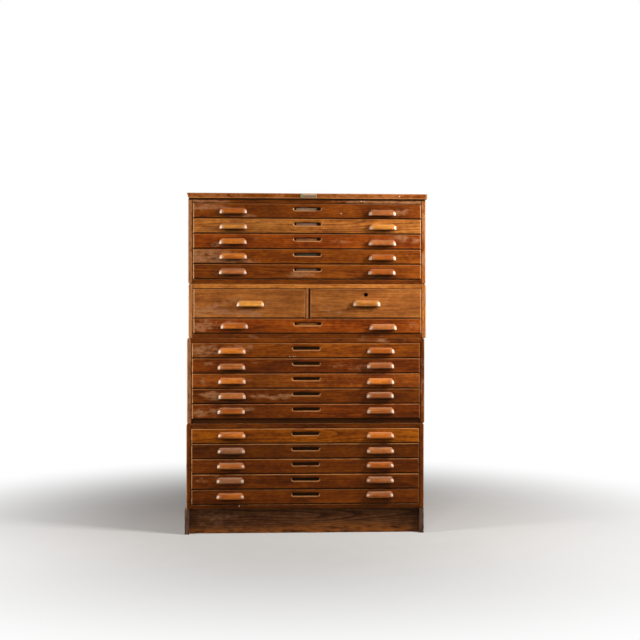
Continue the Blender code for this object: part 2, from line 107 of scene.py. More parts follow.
lens = bpy.data.cameras.new("camera")
lens.lens = LENS
lens.sensor_width = SENSOR
camera = placed("camera", lens)
level = Matrix.Rotation(radians(90), 4, "X")
turn = Matrix.Rotation(-TURN_RIGHT, 4, "Z")
roll = Matrix.Rotation(ROLL, 4, "Z")
camera.matrix_world = Matrix.Translation(CAMERA_PLACE) @ turn @ level @ roll
bpy.context.scene.camera = camera
print("camera at", CAMERA_PLACE, "with a lens of", LENS, "mm")

# %% [markdown]
# ## Arithmetic with sockets
# A node tree is arithmetic with wires. So one small class wraps a socket and lets Python's own signs
# add the Math nodes: `1 - mask` makes a Subtract node. Its partner, Finish, starts a material and has
# one method that adds any other node.

# %% Sockets that can be added and multiplied
def signed(operation, swapped=False):
    """A method that turns one of Python's signs into a Math node."""
    def method(self, other):
        return self.finish.maths(operation, *((other, self) if swapped else (self, other)))
    return method


class Wire:
    """A socket of a finish that can be written with in sums."""

    def __init__(self, finish, socket):
        self.finish = finish
        self.socket = socket

    __add__, __radd__ = signed("ADD"), signed("ADD", swapped=True)
    __sub__, __rsub__ = signed("SUBTRACT"), signed("SUBTRACT", swapped=True)
    __mul__, __truediv__, __pow__ = signed("MULTIPLY"), signed("DIVIDE"), signed("POWER")


# %% A finish is a material in the making
class Finish:
    """One material, or the world, with short ways to add the nodes that it needs."""

    def __init__(self, name, world=False):
        self.made = (bpy.data.worlds if world else bpy.data.materials).new(name)
        self.made.use_nodes = True
        self.tree = self.made.node_tree
        self.tree.nodes.clear()

    def node(self, kind, sockets=(), out=0, **settings):
        """Add one node: its settings first, then the values or links of its sockets."""
        made = self.tree.nodes.new("ShaderNode" + kind)
        for place, colour in settings.pop("stops", ()):
            ramp = made.color_ramp.elements
            stop = ramp[-int(place)] if place in (0.0, 1.0) else ramp.new(place)
            stop.color = colour
        for name, value in settings.items():
            setattr(made, name, value)
        for name, value in dict(sockets).items():
            if isinstance(value, Wire):
                self.tree.links.new(value.socket, made.inputs[name])
            else:
                made.inputs[name].default_value = value
        return Wire(self, made.outputs[out]) if len(made.outputs) else made

    def maths(self, operation, *values, **settings):
        """Add one Math node over these values."""
        return self.node("Math", dict(enumerate(values)), operation=operation, **settings)

    def place(self):
        """Where a point lies, in its object's own directions."""
        return self.node("TexCoord", out="Object")

    def split(self, vector):
        """The three numbers of a vector."""
        return [self.node("SeparateXYZ", {0: vector}, out=axis) for axis in range(3)]

    def noise(self, place, scale, detail=2.0, roughness=0.5):
        """Soft random values from 0 to 1, about 0.5 in the middle."""
        sockets = {"Vector": place, "Scale": scale, "Detail": detail, "Roughness": roughness}
        return self.node("TexNoise", sockets)

    def fade(self, value, low, high):
        """0 up to low, 1 from high on, and a smooth step between them."""
        sockets = {"Value": value, "From Min": low, "From Max": high}
        return self.node("MapRange", sockets, interpolation_type="SMOOTHSTEP")

    def blend(self, share, first, second):
        """Mix two colours by a share, which may change over the surface."""
        return self.node("Mix", {0: share, 6: first, 7: second}, out=2, data_type="RGBA")

    def bump(self, height, strength, distance):
        """Turn a height into a normal."""
        return self.node("Bump", {"Height": height, "Strength": strength, "Distance": distance})

    def close(self, sockets):
        """End the tree with its shader, and return the material."""
        self.node("OutputMaterial", {"Surface": self.node("BsdfPrincipled", sockets)})
        return self.made


def opaque(colour, factor=1.0):
    """A linear colour with full cover, times a factor."""
    return (*(min(1.0, channel * factor) for channel in colour), 1.0)


print("ready to write materials")

# %% [markdown]
# ## Floor, background and lamps
# The cabinet stands on a plain pale floor. Far away the floor turns into the same white as the
# background, but only for what the camera or a gloss sees, so that the white adds no light. Two soft
# lamps stand left and right in front of the cabinet and light the ends of each pull, where a painted
# highlight adds to them. A larger one hangs high in front, is kept out of the gloss, and casts the shadow
# under each pull, which a painted shadow deepens. The world fills in the rest with weak light.

# %% The floor
FLOOR_REACH = 40.0
FLOOR_TONE = 0.62
WHITE_FROM = 0.7
WHITE_TO = 2.6
WHITE = opaque((1.0, 1.0, 1.0))


def seen_by_eye(finish):
    """1 for what the camera or a gloss sees, and 0 for light."""
    kinds = ("Is Camera Ray", "Is Glossy Ray", "Is Transmission Ray")
    camera_ray, glossy_ray, clear_ray = (finish.node("LightPath", out=kind) for kind in kinds)
    return finish.maths("ADD", camera_ray + glossy_ray, clear_ray, use_clamp=True)


def floor_finish():
    """A pale matt floor that fades to white away from the cabinet."""
    finish = Finish("pale_floor")
    place = finish.place()
    away = finish.node("VectorMath", {0: place}, out="Value", operation="LENGTH")
    speckle = finish.noise(place, 6.0, 3.0)
    tone = finish.blend(speckle, *(opaque((FLOOR_TONE,) * 3, factor) for factor in (0.97, 1.03)))
    matt = finish.node("BsdfDiffuse", {"Color": tone, "Roughness": 0.6})
    white = finish.node("Emission", {"Color": WHITE, "Strength": 1.0})
    share = finish.fade(away, WHITE_FROM, WHITE_TO) * seen_by_eye(finish)
    both = finish.node("MixShader", {0: share, 1: matt, 2: white})
    finish.node("OutputMaterial", {"Surface": both})
    return finish.made


corners = [(x * FLOOR_REACH, y * FLOOR_REACH, 0.0) for x, y in ((-1, -1), (1, -1), (1, 1), (-1, 1))]
floor_mesh = bpy.data.meshes.new("floor")
floor_mesh.from_pydata(corners, [], [(0, 1, 2, 3)])
floor_mesh.materials.append(floor_finish())
floor = placed("floor", floor_mesh)
print("floor laid,", 2 * FLOOR_REACH, "m wide")

# %% The background
FILL_LIGHT = 0.07
FILL_TINT = opaque((1.0, 0.98, 0.95))

sky = Finish("studio", world=True)
fill = sky.node("Background", {"Color": FILL_TINT, "Strength": FILL_LIGHT})
white = sky.node("Background", {"Color": WHITE, "Strength": 1.0})
both = sky.node("MixShader", {0: seen_by_eye(sky), 1: fill, 2: white})
sky.node("OutputWorld", {"Surface": both})
bpy.context.scene.world = sky.made
bpy.context.scene.view_settings.view_transform = "Standard"
print("fill light", FILL_LIGHT)

# %% The lamps: where each one stands and aims, its size in metres and its power
LAMP_TINT = (1.0, 0.97, 0.93)
LAMPS = {
    "left_lamp": ((-2.0, -1.25, 1.25), (-0.1, -0.4, 0.9), 0.55, 25.0),
    "right_lamp": ((1.85, -1.35, 2.0), (0.2, -0.4, 1.05), 0.65, 64.0),
    "front_lamp": ((-0.6, -4.4, 3.8), (-0.1, -0.4, 0.95), 1.3, 36.0),
}

for name, (place, aim, size, watts) in LAMPS.items():
    light = bpy.data.lights.new(name, "AREA")
    light.shape = "SQUARE"
    light.size = size
    light.energy = watts
    light.color = LAMP_TINT
    stand = placed(name, light)
    look = Vector(aim) - Vector(place)
    stand.matrix_world = Matrix.Translation(place) @ look.to_track_quat("-Z", "Y").to_matrix().to_4x4()
    stand.visible_glossy = name != "front_lamp"
    print(name, watts, "W at", place)

# %% [markdown]
# ## Stains
# Every board took its stain differently, so the drawers aren't one brown. A short list of named
# stains, each a linear colour, is enough: honey and amber for the lighter drawers, russet for the red
# ones, umber and walnut for the dark ones at the foot. The pulls are paler, polished by hands. The
# model knows fewer stains than the real fronts and pulls have, so each drawer's row names both.

# %% Name the stains
STAINS = {
    "honey": (0.3, 0.09, 0.014),
    "amber": (0.2, 0.044, 0.003),
    "russet": (0.22, 0.041, 0.003),
    "umber": (0.125, 0.025, 0.0015),
    "walnut": (0.09, 0.018, 0.001),
    "plinth": (0.08, 0.027, 0.009),
    "grey": (0.105, 0.056, 0.034),
    "raw": (0.45, 0.265, 0.12),
    "chestnut": (0.185, 0.039, 0.003),
    "fawn": (0.3, 0.094, 0.018),
    "mahogany": (0.15, 0.028, 0.002),
    "ginger": (0.215, 0.05, 0.002),
    "wheat": (0.37, 0.118, 0.02),
    "tawny": (0.26, 0.06, 0.006),
}
PULL_TONES = {
    "pale": (0.6, 0.225, 0.036),
    "orange": (0.47, 0.125, 0.014),
    "tan": (0.35, 0.1, 0.02),
    "rust": (0.34, 0.08, 0.008),
    "rose": (0.38, 0.115, 0.028),
    "dusty": (0.23, 0.08, 0.028),
    "straw": (0.47, 0.17, 0.03),
}
# A drawer's stain and its pulls' stain in the model, and then the shades that its front, its left
# pull and its right pull really have.
DRAWER_LOOKS = {
    "a1": ("amber", "orange", "chestnut", "rust", "rose"),
    "a2": ("honey", "pale", "wheat", "straw", "pale"),
    "a3": ("russet", "orange", "russet", "orange", "rose"),
    "a4": ("amber", "orange", "amber", "orange", "rust"),
    "a5": ("amber", "tan", "chestnut", "rose", "rust"),
    "b_left": ("honey", "pale", "fawn", "pale"),
    "b_right": ("honey", "pale", "fawn", "pale"),
    "b_flat": ("russet", "orange", "russet", "orange", "rose"),
    "c1": ("amber", "orange", "amber", "orange", "rust"),
    "c2": ("umber", "orange", "mahogany", "tan", "rose"),
    "c3": ("amber", "orange", "tawny", "orange", "orange"),
    "c4": ("umber", "tan", "umber", "rose", "tan"),
    "c5": ("umber", "orange", "mahogany", "rust", "tan"),
    "d1": ("amber", "pale", "ginger", "orange", "orange"),
    "d2": ("walnut", "tan", "walnut", "dusty", "tan"),
    "d3": ("umber", "tan", "umber", "tan", "rust"),
    "d4": ("umber", "tan", "umber", "dusty", "tan"),
    "d5": ("umber", "tan", "umber", "rust", "tan"),
}
CASE_STAINS = {"a": "amber", "b": "honey", "c": "umber", "d": "umber"}
print(len(STAINS), "stains for boards and", len(PULL_TONES), "for pulls")

# %% [markdown]
# ## Oak
# A board is cut from a trunk, and its figure is the trunk's rings where the saw went through. So the
# rings come first, as distances from the heart of the tree, in the board's own directions: along the
# grain, across the board, and through it. Each point of a board carries these three as the attribute
# "grain". A slow sway bends the rings into flames, and finer noise, drawn out along the grain, gives
# fibres and pores.
#
# A second attribute, "marks", says where a board is worn and where a sheen is painted on it, where its
# edge is rubbed and where a highlight is painted on it, and where it is dark with dirt and with painted
# shade. The noise breaks those up, so that no patch has a plain outline.

# %% The rings of the tree
RING_WIDTH = 0.0072
RING_FALL = 2.2
SWAY_ACROSS = 0.085
SWAY_THROUGH = 0.04
TAPER = 0.02
# Each noise has a scale along the grain, a scale across it, its detail and its roughness.
GRAIN_NOISES = {
    "bend": (1.1, 4.0, 1.5, 0.5),
    "lean": (2.3, 6.0, 1.0, 0.5),
    "fibre": (8.0, 210.0, 4.0, 0.65),
    "pore": (45.0, 1300.0, 1.0, 0.5),
    "streak": (1.3, 46.0, 2.5, 0.55),
    "cloud": (4.4, 10.0, 3.0, 0.6),
    "mottle": (40.0, 78.0, 2.0, 0.5),
    "smear": (10.0, 22.0, 5.0, 0.68),
    "gap": (16.0, 60.0, 3.0, 0.5),
}


def grain_noise(finish, grain, name):
    """One of the noises above, drawn out along the grain."""
    along, across, detail, roughness = GRAIN_NOISES[name]
    place = finish.node("VectorMath", {0: grain, 1: (along, across, across)}, operation="MULTIPLY")
    return finish.noise(place, 1.0, detail, roughness)


def rings(finish, grain):
    """The rings of the tree: 1 at the dark start of each year's growth, fading to 0."""
    along, across, through = finish.split(grain)
    side = across + (grain_noise(finish, grain, "bend") - 0.5) * SWAY_ACROSS
    deep = through + (grain_noise(finish, grain, "lean") - 0.5) * SWAY_THROUGH
    heart = (side * side + deep * deep) ** 0.5 + along * TAPER
    return (1 - finish.maths("FRACT", heart / RING_WIDTH)) ** RING_FALL


# %% Write the oak
# The worn colour stands for worn varnish and also for a painted sheen, the rubbed colour for bare wood and
# also for a painted highlight, and the grime colour for dirt and also for painted shade.
WORN_AND_SHEEN = (0.34, 0.15, 0.064)
RUBBED_AND_HIGHLIGHT = (0.58, 0.27, 0.1)
GRIME_AND_SHADE = (0.014, 0.006, 0.002)
VARNISH_TINT = (1.0, 0.62, 0.3)
# The darkest and the lightest wood of a board, as factors of its stain.
DARKEST = (0.4, 0.32, 0.4)
LIGHTEST = (1.75, 2.05, 2.3)


def oak(name, stain, worn=WORN_AND_SHEEN, pale_mark=RUBBED_AND_HIGHLIGHT, gloss=0.44, coat=0.05, depth=1.0, worn_and_sheen_share=0.9,
        gaps=(0.2, 0.5), rub_coat=0.12, coat_roughness=0.28, contrast=1.0, figure=0.4):
    """Old stained oak under thin varnish."""
    finish = Finish(name)
    grain = finish.node("Attribute", out="Vector", attribute_name="grain")
    wear_and_sheen, rub_and_highlight, dirt_and_shade = finish.split(finish.node("Attribute", out="Vector", attribute_name="marks"))
    ring = rings(finish, grain)
    fibre, pore, streak, cloud, mottle, smear, gap = (
        grain_noise(finish, grain, which) for which in list(GRAIN_NOISES)[2:])
    pore = finish.fade(pore, 0.56, 0.7)
    tone = (cloud - 0.5) * 1.6 + (streak - 0.5) * 0.9 + (mottle - 0.5) * 0.9 + (fibre - 0.5) * 1.0
    tone = 0.5 + figure * 0.2 + (tone - ring * figure - ring * pore * 0.3) * contrast
    stops = [(place, opaque([channel * factor for channel, factor in zip(stain, factors)]))
             for place, factors in ((0.0, DARKEST), (0.5, (1.0,) * 3), (1.0, LIGHTEST))]
    colour = finish.node("ValToRGB", {0: tone}, stops=stops)
    # Worn patches carry a painted sheen too, rubbed edges a painted highlight, and the dark marks painted
    # shade as well as dirt.
    patch = finish.fade(wear_and_sheen + (smear - 0.5) * 2.0 * finish.fade(wear_and_sheen, 0.02, 0.35), 0.32, 0.68)
    speckle = 0.78 + (fibre - 0.5) * 1.3 + (mottle - 0.5) * 1.9 - ring * 0.15
    haze = patch * finish.fade(speckle, 0.0, 1.1) * worn_and_sheen_share
    bare = rub_and_highlight * finish.fade(gap, *gaps)
    for share, mark in ((haze, worn), (bare * 0.9, pale_mark), (dirt_and_shade, GRIME_AND_SHADE)):
        colour = finish.blend(share, colour, opaque(mark))
    height = fibre * 0.35 - ring * 0.45 - ring * pore * 0.9 + cloud * 0.4
    return finish.close({
        "Base Color": colour,
        "Roughness": gloss + (cloud - 0.5) * 0.3 + (fibre - 0.5) * 0.12 + patch * 0.1,
        "Specular IOR Level": 0.14,
        "Specular Tint": opaque(VARNISH_TINT),
        "Coat Weight": (coat + rub_and_highlight * rub_coat) * (1 - patch * 0.6) * (1 - dirt_and_shade),
        "Coat Roughness": coat_roughness,
        "Normal": finish.bump(height, 0.35 * depth, 0.0006),
    })


FIGURES = {"wheat": 0.52, "fawn": 0.34, "ginger": 0.45, "raw": 0.25}
CONTRASTS = {"fawn": 0.7, "raw": 0.55}
OAK = {stain: oak("oak_" + stain, colour, figure=FIGURES.get(stain, 0.36),
                  contrast=CONTRASTS.get(stain, 1.0), rub_coat=0.2)
       for stain, colour in STAINS.items()}
print("oak in", len(OAK), "stains")

# %% [markdown]
# ## Boards
# Every wooden piece is made of boards, and a board is a block with rounded edges. Some pieces are one
# board, and a drawer's box is four. Joining their meshes with a modifier would lose which point
# belongs to which board, so the points and faces are gathered in lists instead. With them go the two
# attributes: where each point lies in its board's grain, and what marks it has.

# %% Shape boards
TINY = 1e-6


def rounded(bm, radius, chosen=None, steps=3):
    """Round the edges over, or only the chosen ones."""
    if radius > 0.0:
        edges = [edge for edge in bm.edges if chosen is None or chosen(edge)]
        bmesh.ops.bevel(bm, geom=edges, offset=radius, segments=steps, profile=0.5,
                        affect="EDGES", clamp_overlap=True)
    return bm


def block(low, high, radius=0.0, chosen=None, steps=3):
    """A box between two corners, rounded."""
    bm = bmesh.new()
    for vert in bmesh.ops.create_cube(bm, size=1.0)["verts"]:
        for axis in range(3):
            vert.co[axis] = high[axis] if vert.co[axis] > 0.0 else low[axis]
    return rounded(bm, radius, chosen, steps)


def in_front(edge):
    """Whether an edge lies in its board's front face."""
    front = min(vert.co.y for face in edge.link_faces for vert in face.verts)
    return all(abs(vert.co.y - front) < TINY for vert in edge.verts)


def outer_edge(low, high):
    """Choose the edges that lie along the outline of the box between two corners."""
    def chosen(edge):
        first, second = (vert.co for vert in edge.verts)
        outer = [axis for axis in range(3) if abs(first[axis] - second[axis]) < TINY
                 and min(abs(first[axis] - low[axis]), abs(first[axis] - high[axis])) < TINY]
        return len(outer) > 1
    return chosen


def loft(rings_of_points):
    """A closed skin over rings that have equally many points."""
    bm = bmesh.new()
    layers = [[bm.verts.new(point) for point in ring] for ring in rings_of_points]
    count = len(layers[0])
    for lower, upper in zip(layers, layers[1:]):
        for at in range(count):
            after = (at + 1) % count
            bm.faces.new((lower[at], lower[after], upper[after], upper[at]))
    bm.faces.new(layers[0])
    bm.faces.new(layers[-1])
    bmesh.ops.recalc_face_normals(bm, faces=bm.faces)
    return bm


def pushed_back(outline, front, back):
    """An outline in X and Z, made solid from one depth to another."""
    return loft([[(x, y, z) for x, z in outline] for y in (front, back)])


def turns(sweep, steps, start=0.0):
    """Even angles over a sweep, with both ends."""
    return [start + sweep * step / steps for step in range(steps + 1)]


def circle(radius, steps, x=0.0, z=0.0):
    """Points of a circle in X and Z."""
    return [(x + radius * cos(turn), z + radius * sin(turn)) for turn in turns(2 * pi, steps)[:-1]]


def sliced_at(bm, axis, places):
    """Cut a board across at these places, which gives it points for its marks."""
    normal = Vector([1.0 if at == axis else 0.0 for at in range(3)])
    for place in places:
        geometry = bm.verts[:] + bm.edges[:] + bm.faces[:]
        bmesh.ops.bisect_plane(bm, geom=geometry, plane_co=normal * place, plane_no=normal, dist=TINY)
    return bm


def sliced(bm, axis, step):
    """Cut a board across at even steps."""
    places = [vert.co[axis] for vert in bm.verts]
    length = max(places) - min(places)
    count = round(length / step)
    return sliced_at(bm, axis, [min(places) + length * at / count for at in range(1, count)])


def carve(bm, cutter):
    """Cut one shape out of another with an exact Boolean."""
    holders = []
    for shape in (bm, cutter):
        mesh = bpy.data.meshes.new("carving")
        shape.to_mesh(mesh)
        shape.free()
        holders.append(placed("carving", mesh))
    cut = holders[0].modifiers.new("cut", "BOOLEAN")
    cut.operation = "DIFFERENCE"
    cut.solver = "EXACT"
    cut.object = holders[1]
    result = bmesh.new()
    result.from_object(holders[0], bpy.context.evaluated_depsgraph_get())
    for holder in holders:
        bpy.data.objects.remove(holder, do_unlink=True)
    return result


print("ready to cut boards")

# %% Gather boards
GRAIN_AXES = {"x": (0, 2, 1), "y": (1, 0, 2), "z": (2, 0, 1), "z_side": (2, 1, 0), "x_top": (0, 1, 2)}
SMOOTH_ANGLE = radians(38)
HEART_ASIDE = 0.09
HEART_DEPTHS = (0.015, 0.05)
TREE_REACH = 6.0


class Boards:
    """Boards gathered into one mesh, each with its own grain and marks."""

    def __init__(self, name):
        self.name = name
        self.points, self.faces, self.grain, self.marks = [], [], [], []

    def add(self, bm, along, marks=None, place=(0.0, 0.0, 0.0)):
        """Add one board, cut from a part of the tree that its name and number choose."""
        chance = random.Random(f"{self.name} {len(self.points)}")
        aside = chance.uniform(-HEART_ASIDE, HEART_ASIDE)
        deep = chance.choice((-1, 1)) * chance.uniform(*HEART_DEPTHS)
        shift = (chance.uniform(-TREE_REACH, TREE_REACH), aside, deep)
        start = len(self.points)
        order = GRAIN_AXES[along]
        bm.verts.index_update()
        middle = sum((vert.co for vert in bm.verts), Vector()) / len(bm.verts)
        for vert in bm.verts:
            self.points.append(vert.co + Vector(place))
            centred = [vert.co[axis] - middle[axis] * (axis != order[0]) for axis in order]
            self.grain.append([own + move for own, move in zip(centred, shift)])
            self.marks.append(marks(vert.co) if marks else (0.0, 0.0, 0.0))
        self.faces += [[start + vert.index for vert in face.verts] for face in bm.faces]
        bm.free()
        return self

    def build(self, material, body, slot=None, replaced=None):
        """Make the piece, and let it ride on its body of the model."""
        mesh = bpy.data.meshes.new(self.name)
        mesh.from_pydata(self.points, [], self.faces)
        for name, values in (("grain", self.grain), ("marks", self.marks)):
            attribute = mesh.attributes.new(name, "FLOAT_VECTOR", "POINT")
            attribute.data.foreach_set("vector", [number for value in values for number in value])
        mesh.materials.append(material)
        mesh.shade_smooth()
        mesh.set_sharp_from_angle(angle=SMOOTH_ANGLE)
        piece = placed(self.name, mesh)
        evened = piece.modifiers.new("even_shading", "WEIGHTED_NORMAL")
        evened.keep_sharp = True
        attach(piece, body)
        if replaced:
            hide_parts(replaced)


print("grain runs in", len(GRAIN_AXES), "ways")

# %% [markdown]
# ### Marks
# The marks of a point are three numbers: its wear and painted sheen, its rubbing and painted highlight,
# and its dirt and painted shade. Patches of wear and sheen and of dirt and shade are soft ovals, written
# in whole percents. An oval's middle and its reach are shares of the board's half width and half height,
# and the last number says how strong it is.

# %% Work out marks
CLEAN = (0.0, 0.0, 0.0)
EDGE_SHARE = 0.7
# A painted shadow under the top board's overhang, and painted shade on the lower edges of blocks.
OVERHANG_SHADE = 0.88
LOWER_EDGE_SHADE = 0.9


def ovals_at(ovals, x, z):
    """How strong the ovals are together at this place."""
    strength = 0.0
    for oval in ovals:
        middle_x, middle_z, reach_x, reach_z, amount = (percent / 100 for percent in oval)
        strength += amount * exp(-((x - middle_x) / reach_x) ** 2 - ((z - middle_z) / reach_z) ** 2)
    return min(1.0, strength)


def streaks(*rows, height=200):
    """Ovals taller than their board: only a middle, a reach along the board and a strength."""
    return [(middle, 0, along, height, strength) for middle, along, strength in rows]


def edge_marks(low, high, radius, amount, patches=(), dirt_and_shade=(), dark_head=0.0):
    """Marks for a plain block: ovals, a painted highlight on its worn upper edges, and painted shade on its
    lower edges and at its head.
    """
    middle, half = (low + high) / 2, (high - low) / 2

    def marks(point):
        # The painted shadow of the top board's overhang.
        if point.z > high.z - dark_head:
            return (0.0, 0.0, OVERHANG_SHADE)
        shares = (point.x - middle.x) / half.x, (point.z - middle.z) / half.z
        wear_and_sheen = ovals_at(patches, *shares)
        margins = [min(point[axis] - low[axis], high[axis] - point[axis]) for axis in range(3)]
        if sum(margin < radius * EDGE_SHARE for margin in margins) < 2:
            return (wear_and_sheen, 0.0, ovals_at(dirt_and_shade, *shares))
        # Upper edges are worn pale with a painted highlight, and lower edges get painted shade.
        return (wear_and_sheen, amount, 0.0) if point.z > middle.z else (wear_and_sheen, 0.0, LOWER_EDGE_SHADE)
    return marks


print("ready to mark boards")

# %% [markdown]
# ## Drawer fronts
# A front is a 20 mm board with its front edges rounded over. The flat drawers have a label slot with
# round ends in the middle, a little above centre, and its mouth is rounded too: that rim catches the
# light as a bright U. The slot is cut with an exact Boolean and a flared cutter. Each kind of front is
# shaped once and then copied, but every copy gets its own grain and its own worn patches.

# %% Shape the fronts
FRONT_THICKNESS = 0.02
FRONT_ROUND = 0.0045
SLOT_WIDTH = 0.134
SLOT_HEIGHT = 0.014
SLOT_ROUND = 0.0065
SLOT_BACKING = 0.005
SLOT_LIFT_SHARE = 0.15
LOCK_BORE = 0.02
LOCK_ROUND = 0.0015
LOCK_DROP = 0.028
OVERRUN = 0.01
PATCH_STEP = 0.018
END_HIGHLIGHT_WIDTH = 0.0065
SLOT_END_STEPS = 14
BORE_STEPS = 40
MOUTH_STEPS = 5


def stadium(growth):
    """Outline of the label slot in X and Z, grown outward all round."""
    radius = SLOT_HEIGHT / 2 + growth
    reach = (SLOT_WIDTH - SLOT_HEIGHT) / 2
    return [(middle + radius * cos(turn), radius * sin(turn))
            for start, middle in ((-pi / 2, reach), (pi / 2, -reach))
            for turn in turns(pi, SLOT_END_STEPS, start)]


def bore(growth):
    """Outline of the lock hole in X and Z, grown outward all round."""
    return circle(LOCK_BORE / 2 + growth, BORE_STEPS)


def flared_cutter(outline, radius, depth, lift):
    """Cutter for a hole that goes in from y = 0, with its mouth rounded over."""
    levels = [(-OVERRUN, radius)]
    for turn in turns(pi / 2, MOUTH_STEPS):
        levels.append((radius * (1 - cos(turn)), radius * (1 - sin(turn))))
    levels.append((depth, 0.0))
    return loft([[(x, y, z + lift) for x, z in outline(growth)] for y, growth in levels])


def front_shape(node, slot=False, lock=False):
    """A front of this node's size, about its middle, with y = 0 on its face."""
    *_, half = measured(node)
    bm = block((-half.x, 0.0, -half.z), (half.x, FRONT_THICKNESS, half.z), FRONT_ROUND, in_front, steps=4)
    if slot:
        depth = FRONT_THICKNESS - SLOT_BACKING
        bm = carve(bm, flared_cutter(stadium, SLOT_ROUND, depth, SLOT_LIFT_SHARE * 2 * half.z))
    if lock:
        depth = FRONT_THICKNESS + OVERRUN
        bm = carve(bm, flared_cutter(bore, LOCK_ROUND, depth, half.z - LOCK_DROP))
    sliced_at(bm, 0, [side * (half.x - END_HIGHLIGHT_WIDTH) for side in (-1, 1)])
    sliced(bm, 0, PATCH_STEP)
    return sliced(bm, 2, PATCH_STEP / 3)


FRONT_SHAPES = {
    "flat": front_shape("drawer_a1", slot=True),
    "deep": front_shape("drawer_b_left"),
    "lock": front_shape("drawer_b_right", lock=True),
}
for kind, shape in FRONT_SHAPES.items():
    print(kind, "front with", len(shape.faces), "faces")

# %% [markdown]
# ### Wear, sheen and shade on the fronts
# Years of hands and damp left hazy, greyish patches, mostly at the left ends of the upper drawers, and a
# sheen painted into them adds to their haze. Darker bands across the left middle of the fronts are
# painted shade. Both are listed as ovals, and the oak's own noise then tears them up. A painted shadow
# lies just below the pulls, and the rounded edges are rubbed and carry a painted highlight, most of all
# at the ends of the upper drawers.

# %% List the patches of wear and painted sheen, and the bands of painted shade
WEAR_AND_SHEEN_PATCHES = {
    "a1": ((-90, 50, 12, 50, 80), (-72, 0, 6, 80, 85), (-55, -75, 16, 32, 70), (80, -20, 24, 80, 48)),
    "a2": ((-88, -40, 18, 50, 55), (-45, 60, 25, 30, 45), (35, -20, 26, 60, 35)),
    "a3": ((-76, -45, 12, 40, 55), (-45, 30, 8, 40, 45), (35, 10, 28, 80, 38), (82, 20, 20, 90, 56)),
    "a4": ((-86, 0, 24, 110, 100), (-52, -50, 22, 50, 45), (85, 20, 14, 60, 25)),
    "a5": ((-74, -20, 10, 50, 60), (-10, -35, 10, 60, 55), (12, -35, 12, 40, 45),
           (62, -60, 14, 40, 40)),
    "b_left": ((-70, -45, 50, 50, 70), (10, -60, 40, 35, 60), (35, 15, 14, 30, 45),
               (-25, 20, 20, 30, 40)),
    "b_right": ((-72, -25, 10, 35, 50), (-45, -60, 22, 22, 55), (-5, -20, 40, 20, 25)),
    "b_flat": ((-90, 0, 13, 90, 80), (-68, 20, 10, 70, 62), (90, 0, 16, 80, 44)),
    "c1": ((-88, 0, 16, 120, 76), (-58, 35, 12, 80, 75), (-35, -60, 10, 30, 25)),
    "c2": ((-50, 30, 10, 50, 42), (55, 0, 45, 80, 50), (-85, 30, 10, 50, 35)),
    "c3": ((-87, 10, 13, 80, 52), (-56, 10, 10, 60, 38), (60, 10, 40, 80, 28)),
    "c4": ((-84, 10, 15, 90, 46), (-32, 0, 28, 50, 62), (35, 20, 30, 40, 20)),
    "c5": ((-90, -20, 14, 100, 62), (-60, 30, 18, 50, 55), (60, 10, 35, 50, 30)),
    "d1": ((82, 0, 20, 50, 15),),
    "d2": ((-50, -50, 15, 30, 20), (-88, 10, 20, 100, 26)),
    "d3": ((10, 30, 20, 40, 18),),
    "d4": ((-10, 10, 20, 50, 25), (-80, 10, 30, 110, 34)),
    "d5": ((75, 20, 25, 60, 20), (-86, 20, 24, 100, 26)),
}
SHADED_BANDS = {
    "a1": streaks((-36, 34, 30), (40, 25, 12)) + [(-78, -30, 8, 60, 35)],
    "a2": streaks((-38, 36, 36), (-85, 20, 12), (88, 25, 15)),
    "a3": streaks((-36, 34, 16)),
    "a4": streaks((30, 40, 14)),
    "a5": streaks((-88, 25, 32), (-34, 25, 18), (35, 35, 24)),
    "b_left": streaks((70, 60, 14)),
    "b_right": streaks((-55, 50, 20), (70, 40, 6)),
    "b_flat": streaks((-30, 30, 14), (90, 20, 8)),
    "c1": streaks((-34, 30, 14)),
    "c2": streaks((-36, 30, 30)),
    "c3": streaks((-34, 36, 46)),
    "c4": streaks((90, 20, 10)),
    "c5": streaks((-34, 30, 36), (90, 20, 10)),
    "d2": streaks((-34, 30, 14)),
    "d3": streaks((35, 30, 16)),
    "d4": streaks((88, 30, 16)),
}
print(sum(map(len, WEAR_AND_SHEEN_PATCHES.values())), "worn patches")

# %% Mark and build the fronts
# Painted highlights on the worn edges: along the top edge, on both ends, fainter on the inner end of the
# deep drawers, and on the slot's rim below its middle.
TOP_EDGE_RUB_AND_HIGHLIGHT = {"a": 0.32, "b": 0.3, "c": 0.42, "d": 0.6}
RIM_HIGHLIGHTS = {"a": 0.8, "b": 0.7, "c": 0.55, "d": 0.5}
END_RUB_AND_HIGHLIGHT = {"a": (1.0, 0.85), "b": (1.0, 1.0), "c": (1.0, 0.35), "d": (0.85, 0.25)}
END_REACHES = (FRONT_ROUND * 1.05, FRONT_ROUND * EDGE_SHARE)
OUTWARD = {"b_left": -1.0, "b_right": 1.0}
INWARD_SHARE = 0.2
# A painted shadow just below each pull.
PULL_SHADOW_REACH = 0.058
PULL_SHADOW_DROP = 0.009
PULL_SHADOW_DEPTH = 0.85
# Painted shade along the foot of each front, deep in the slot and bore, and in the slot above its middle.
FRONT_FOOT_SHADE = 0.8
SLOT_DEPTH_SHADE = 0.95
SLOT_SHADE = 0.35
FLAT_DEPTH = 0.0002
SLOT_HEAD = 0.004


def pull_shadow_at(feet, x, z):
    """How dark the painted shadow is just below the feet of a front's pulls."""
    dark = 0.0
    for foot_x, foot_z in feet:
        below = (z - foot_z + PULL_SHADOW_DROP * 0.4) / PULL_SHADOW_DROP
        dark += PULL_SHADOW_DEPTH * exp(-((x - foot_x) / PULL_SHADOW_REACH) ** 4 - below ** 2)
    return dark


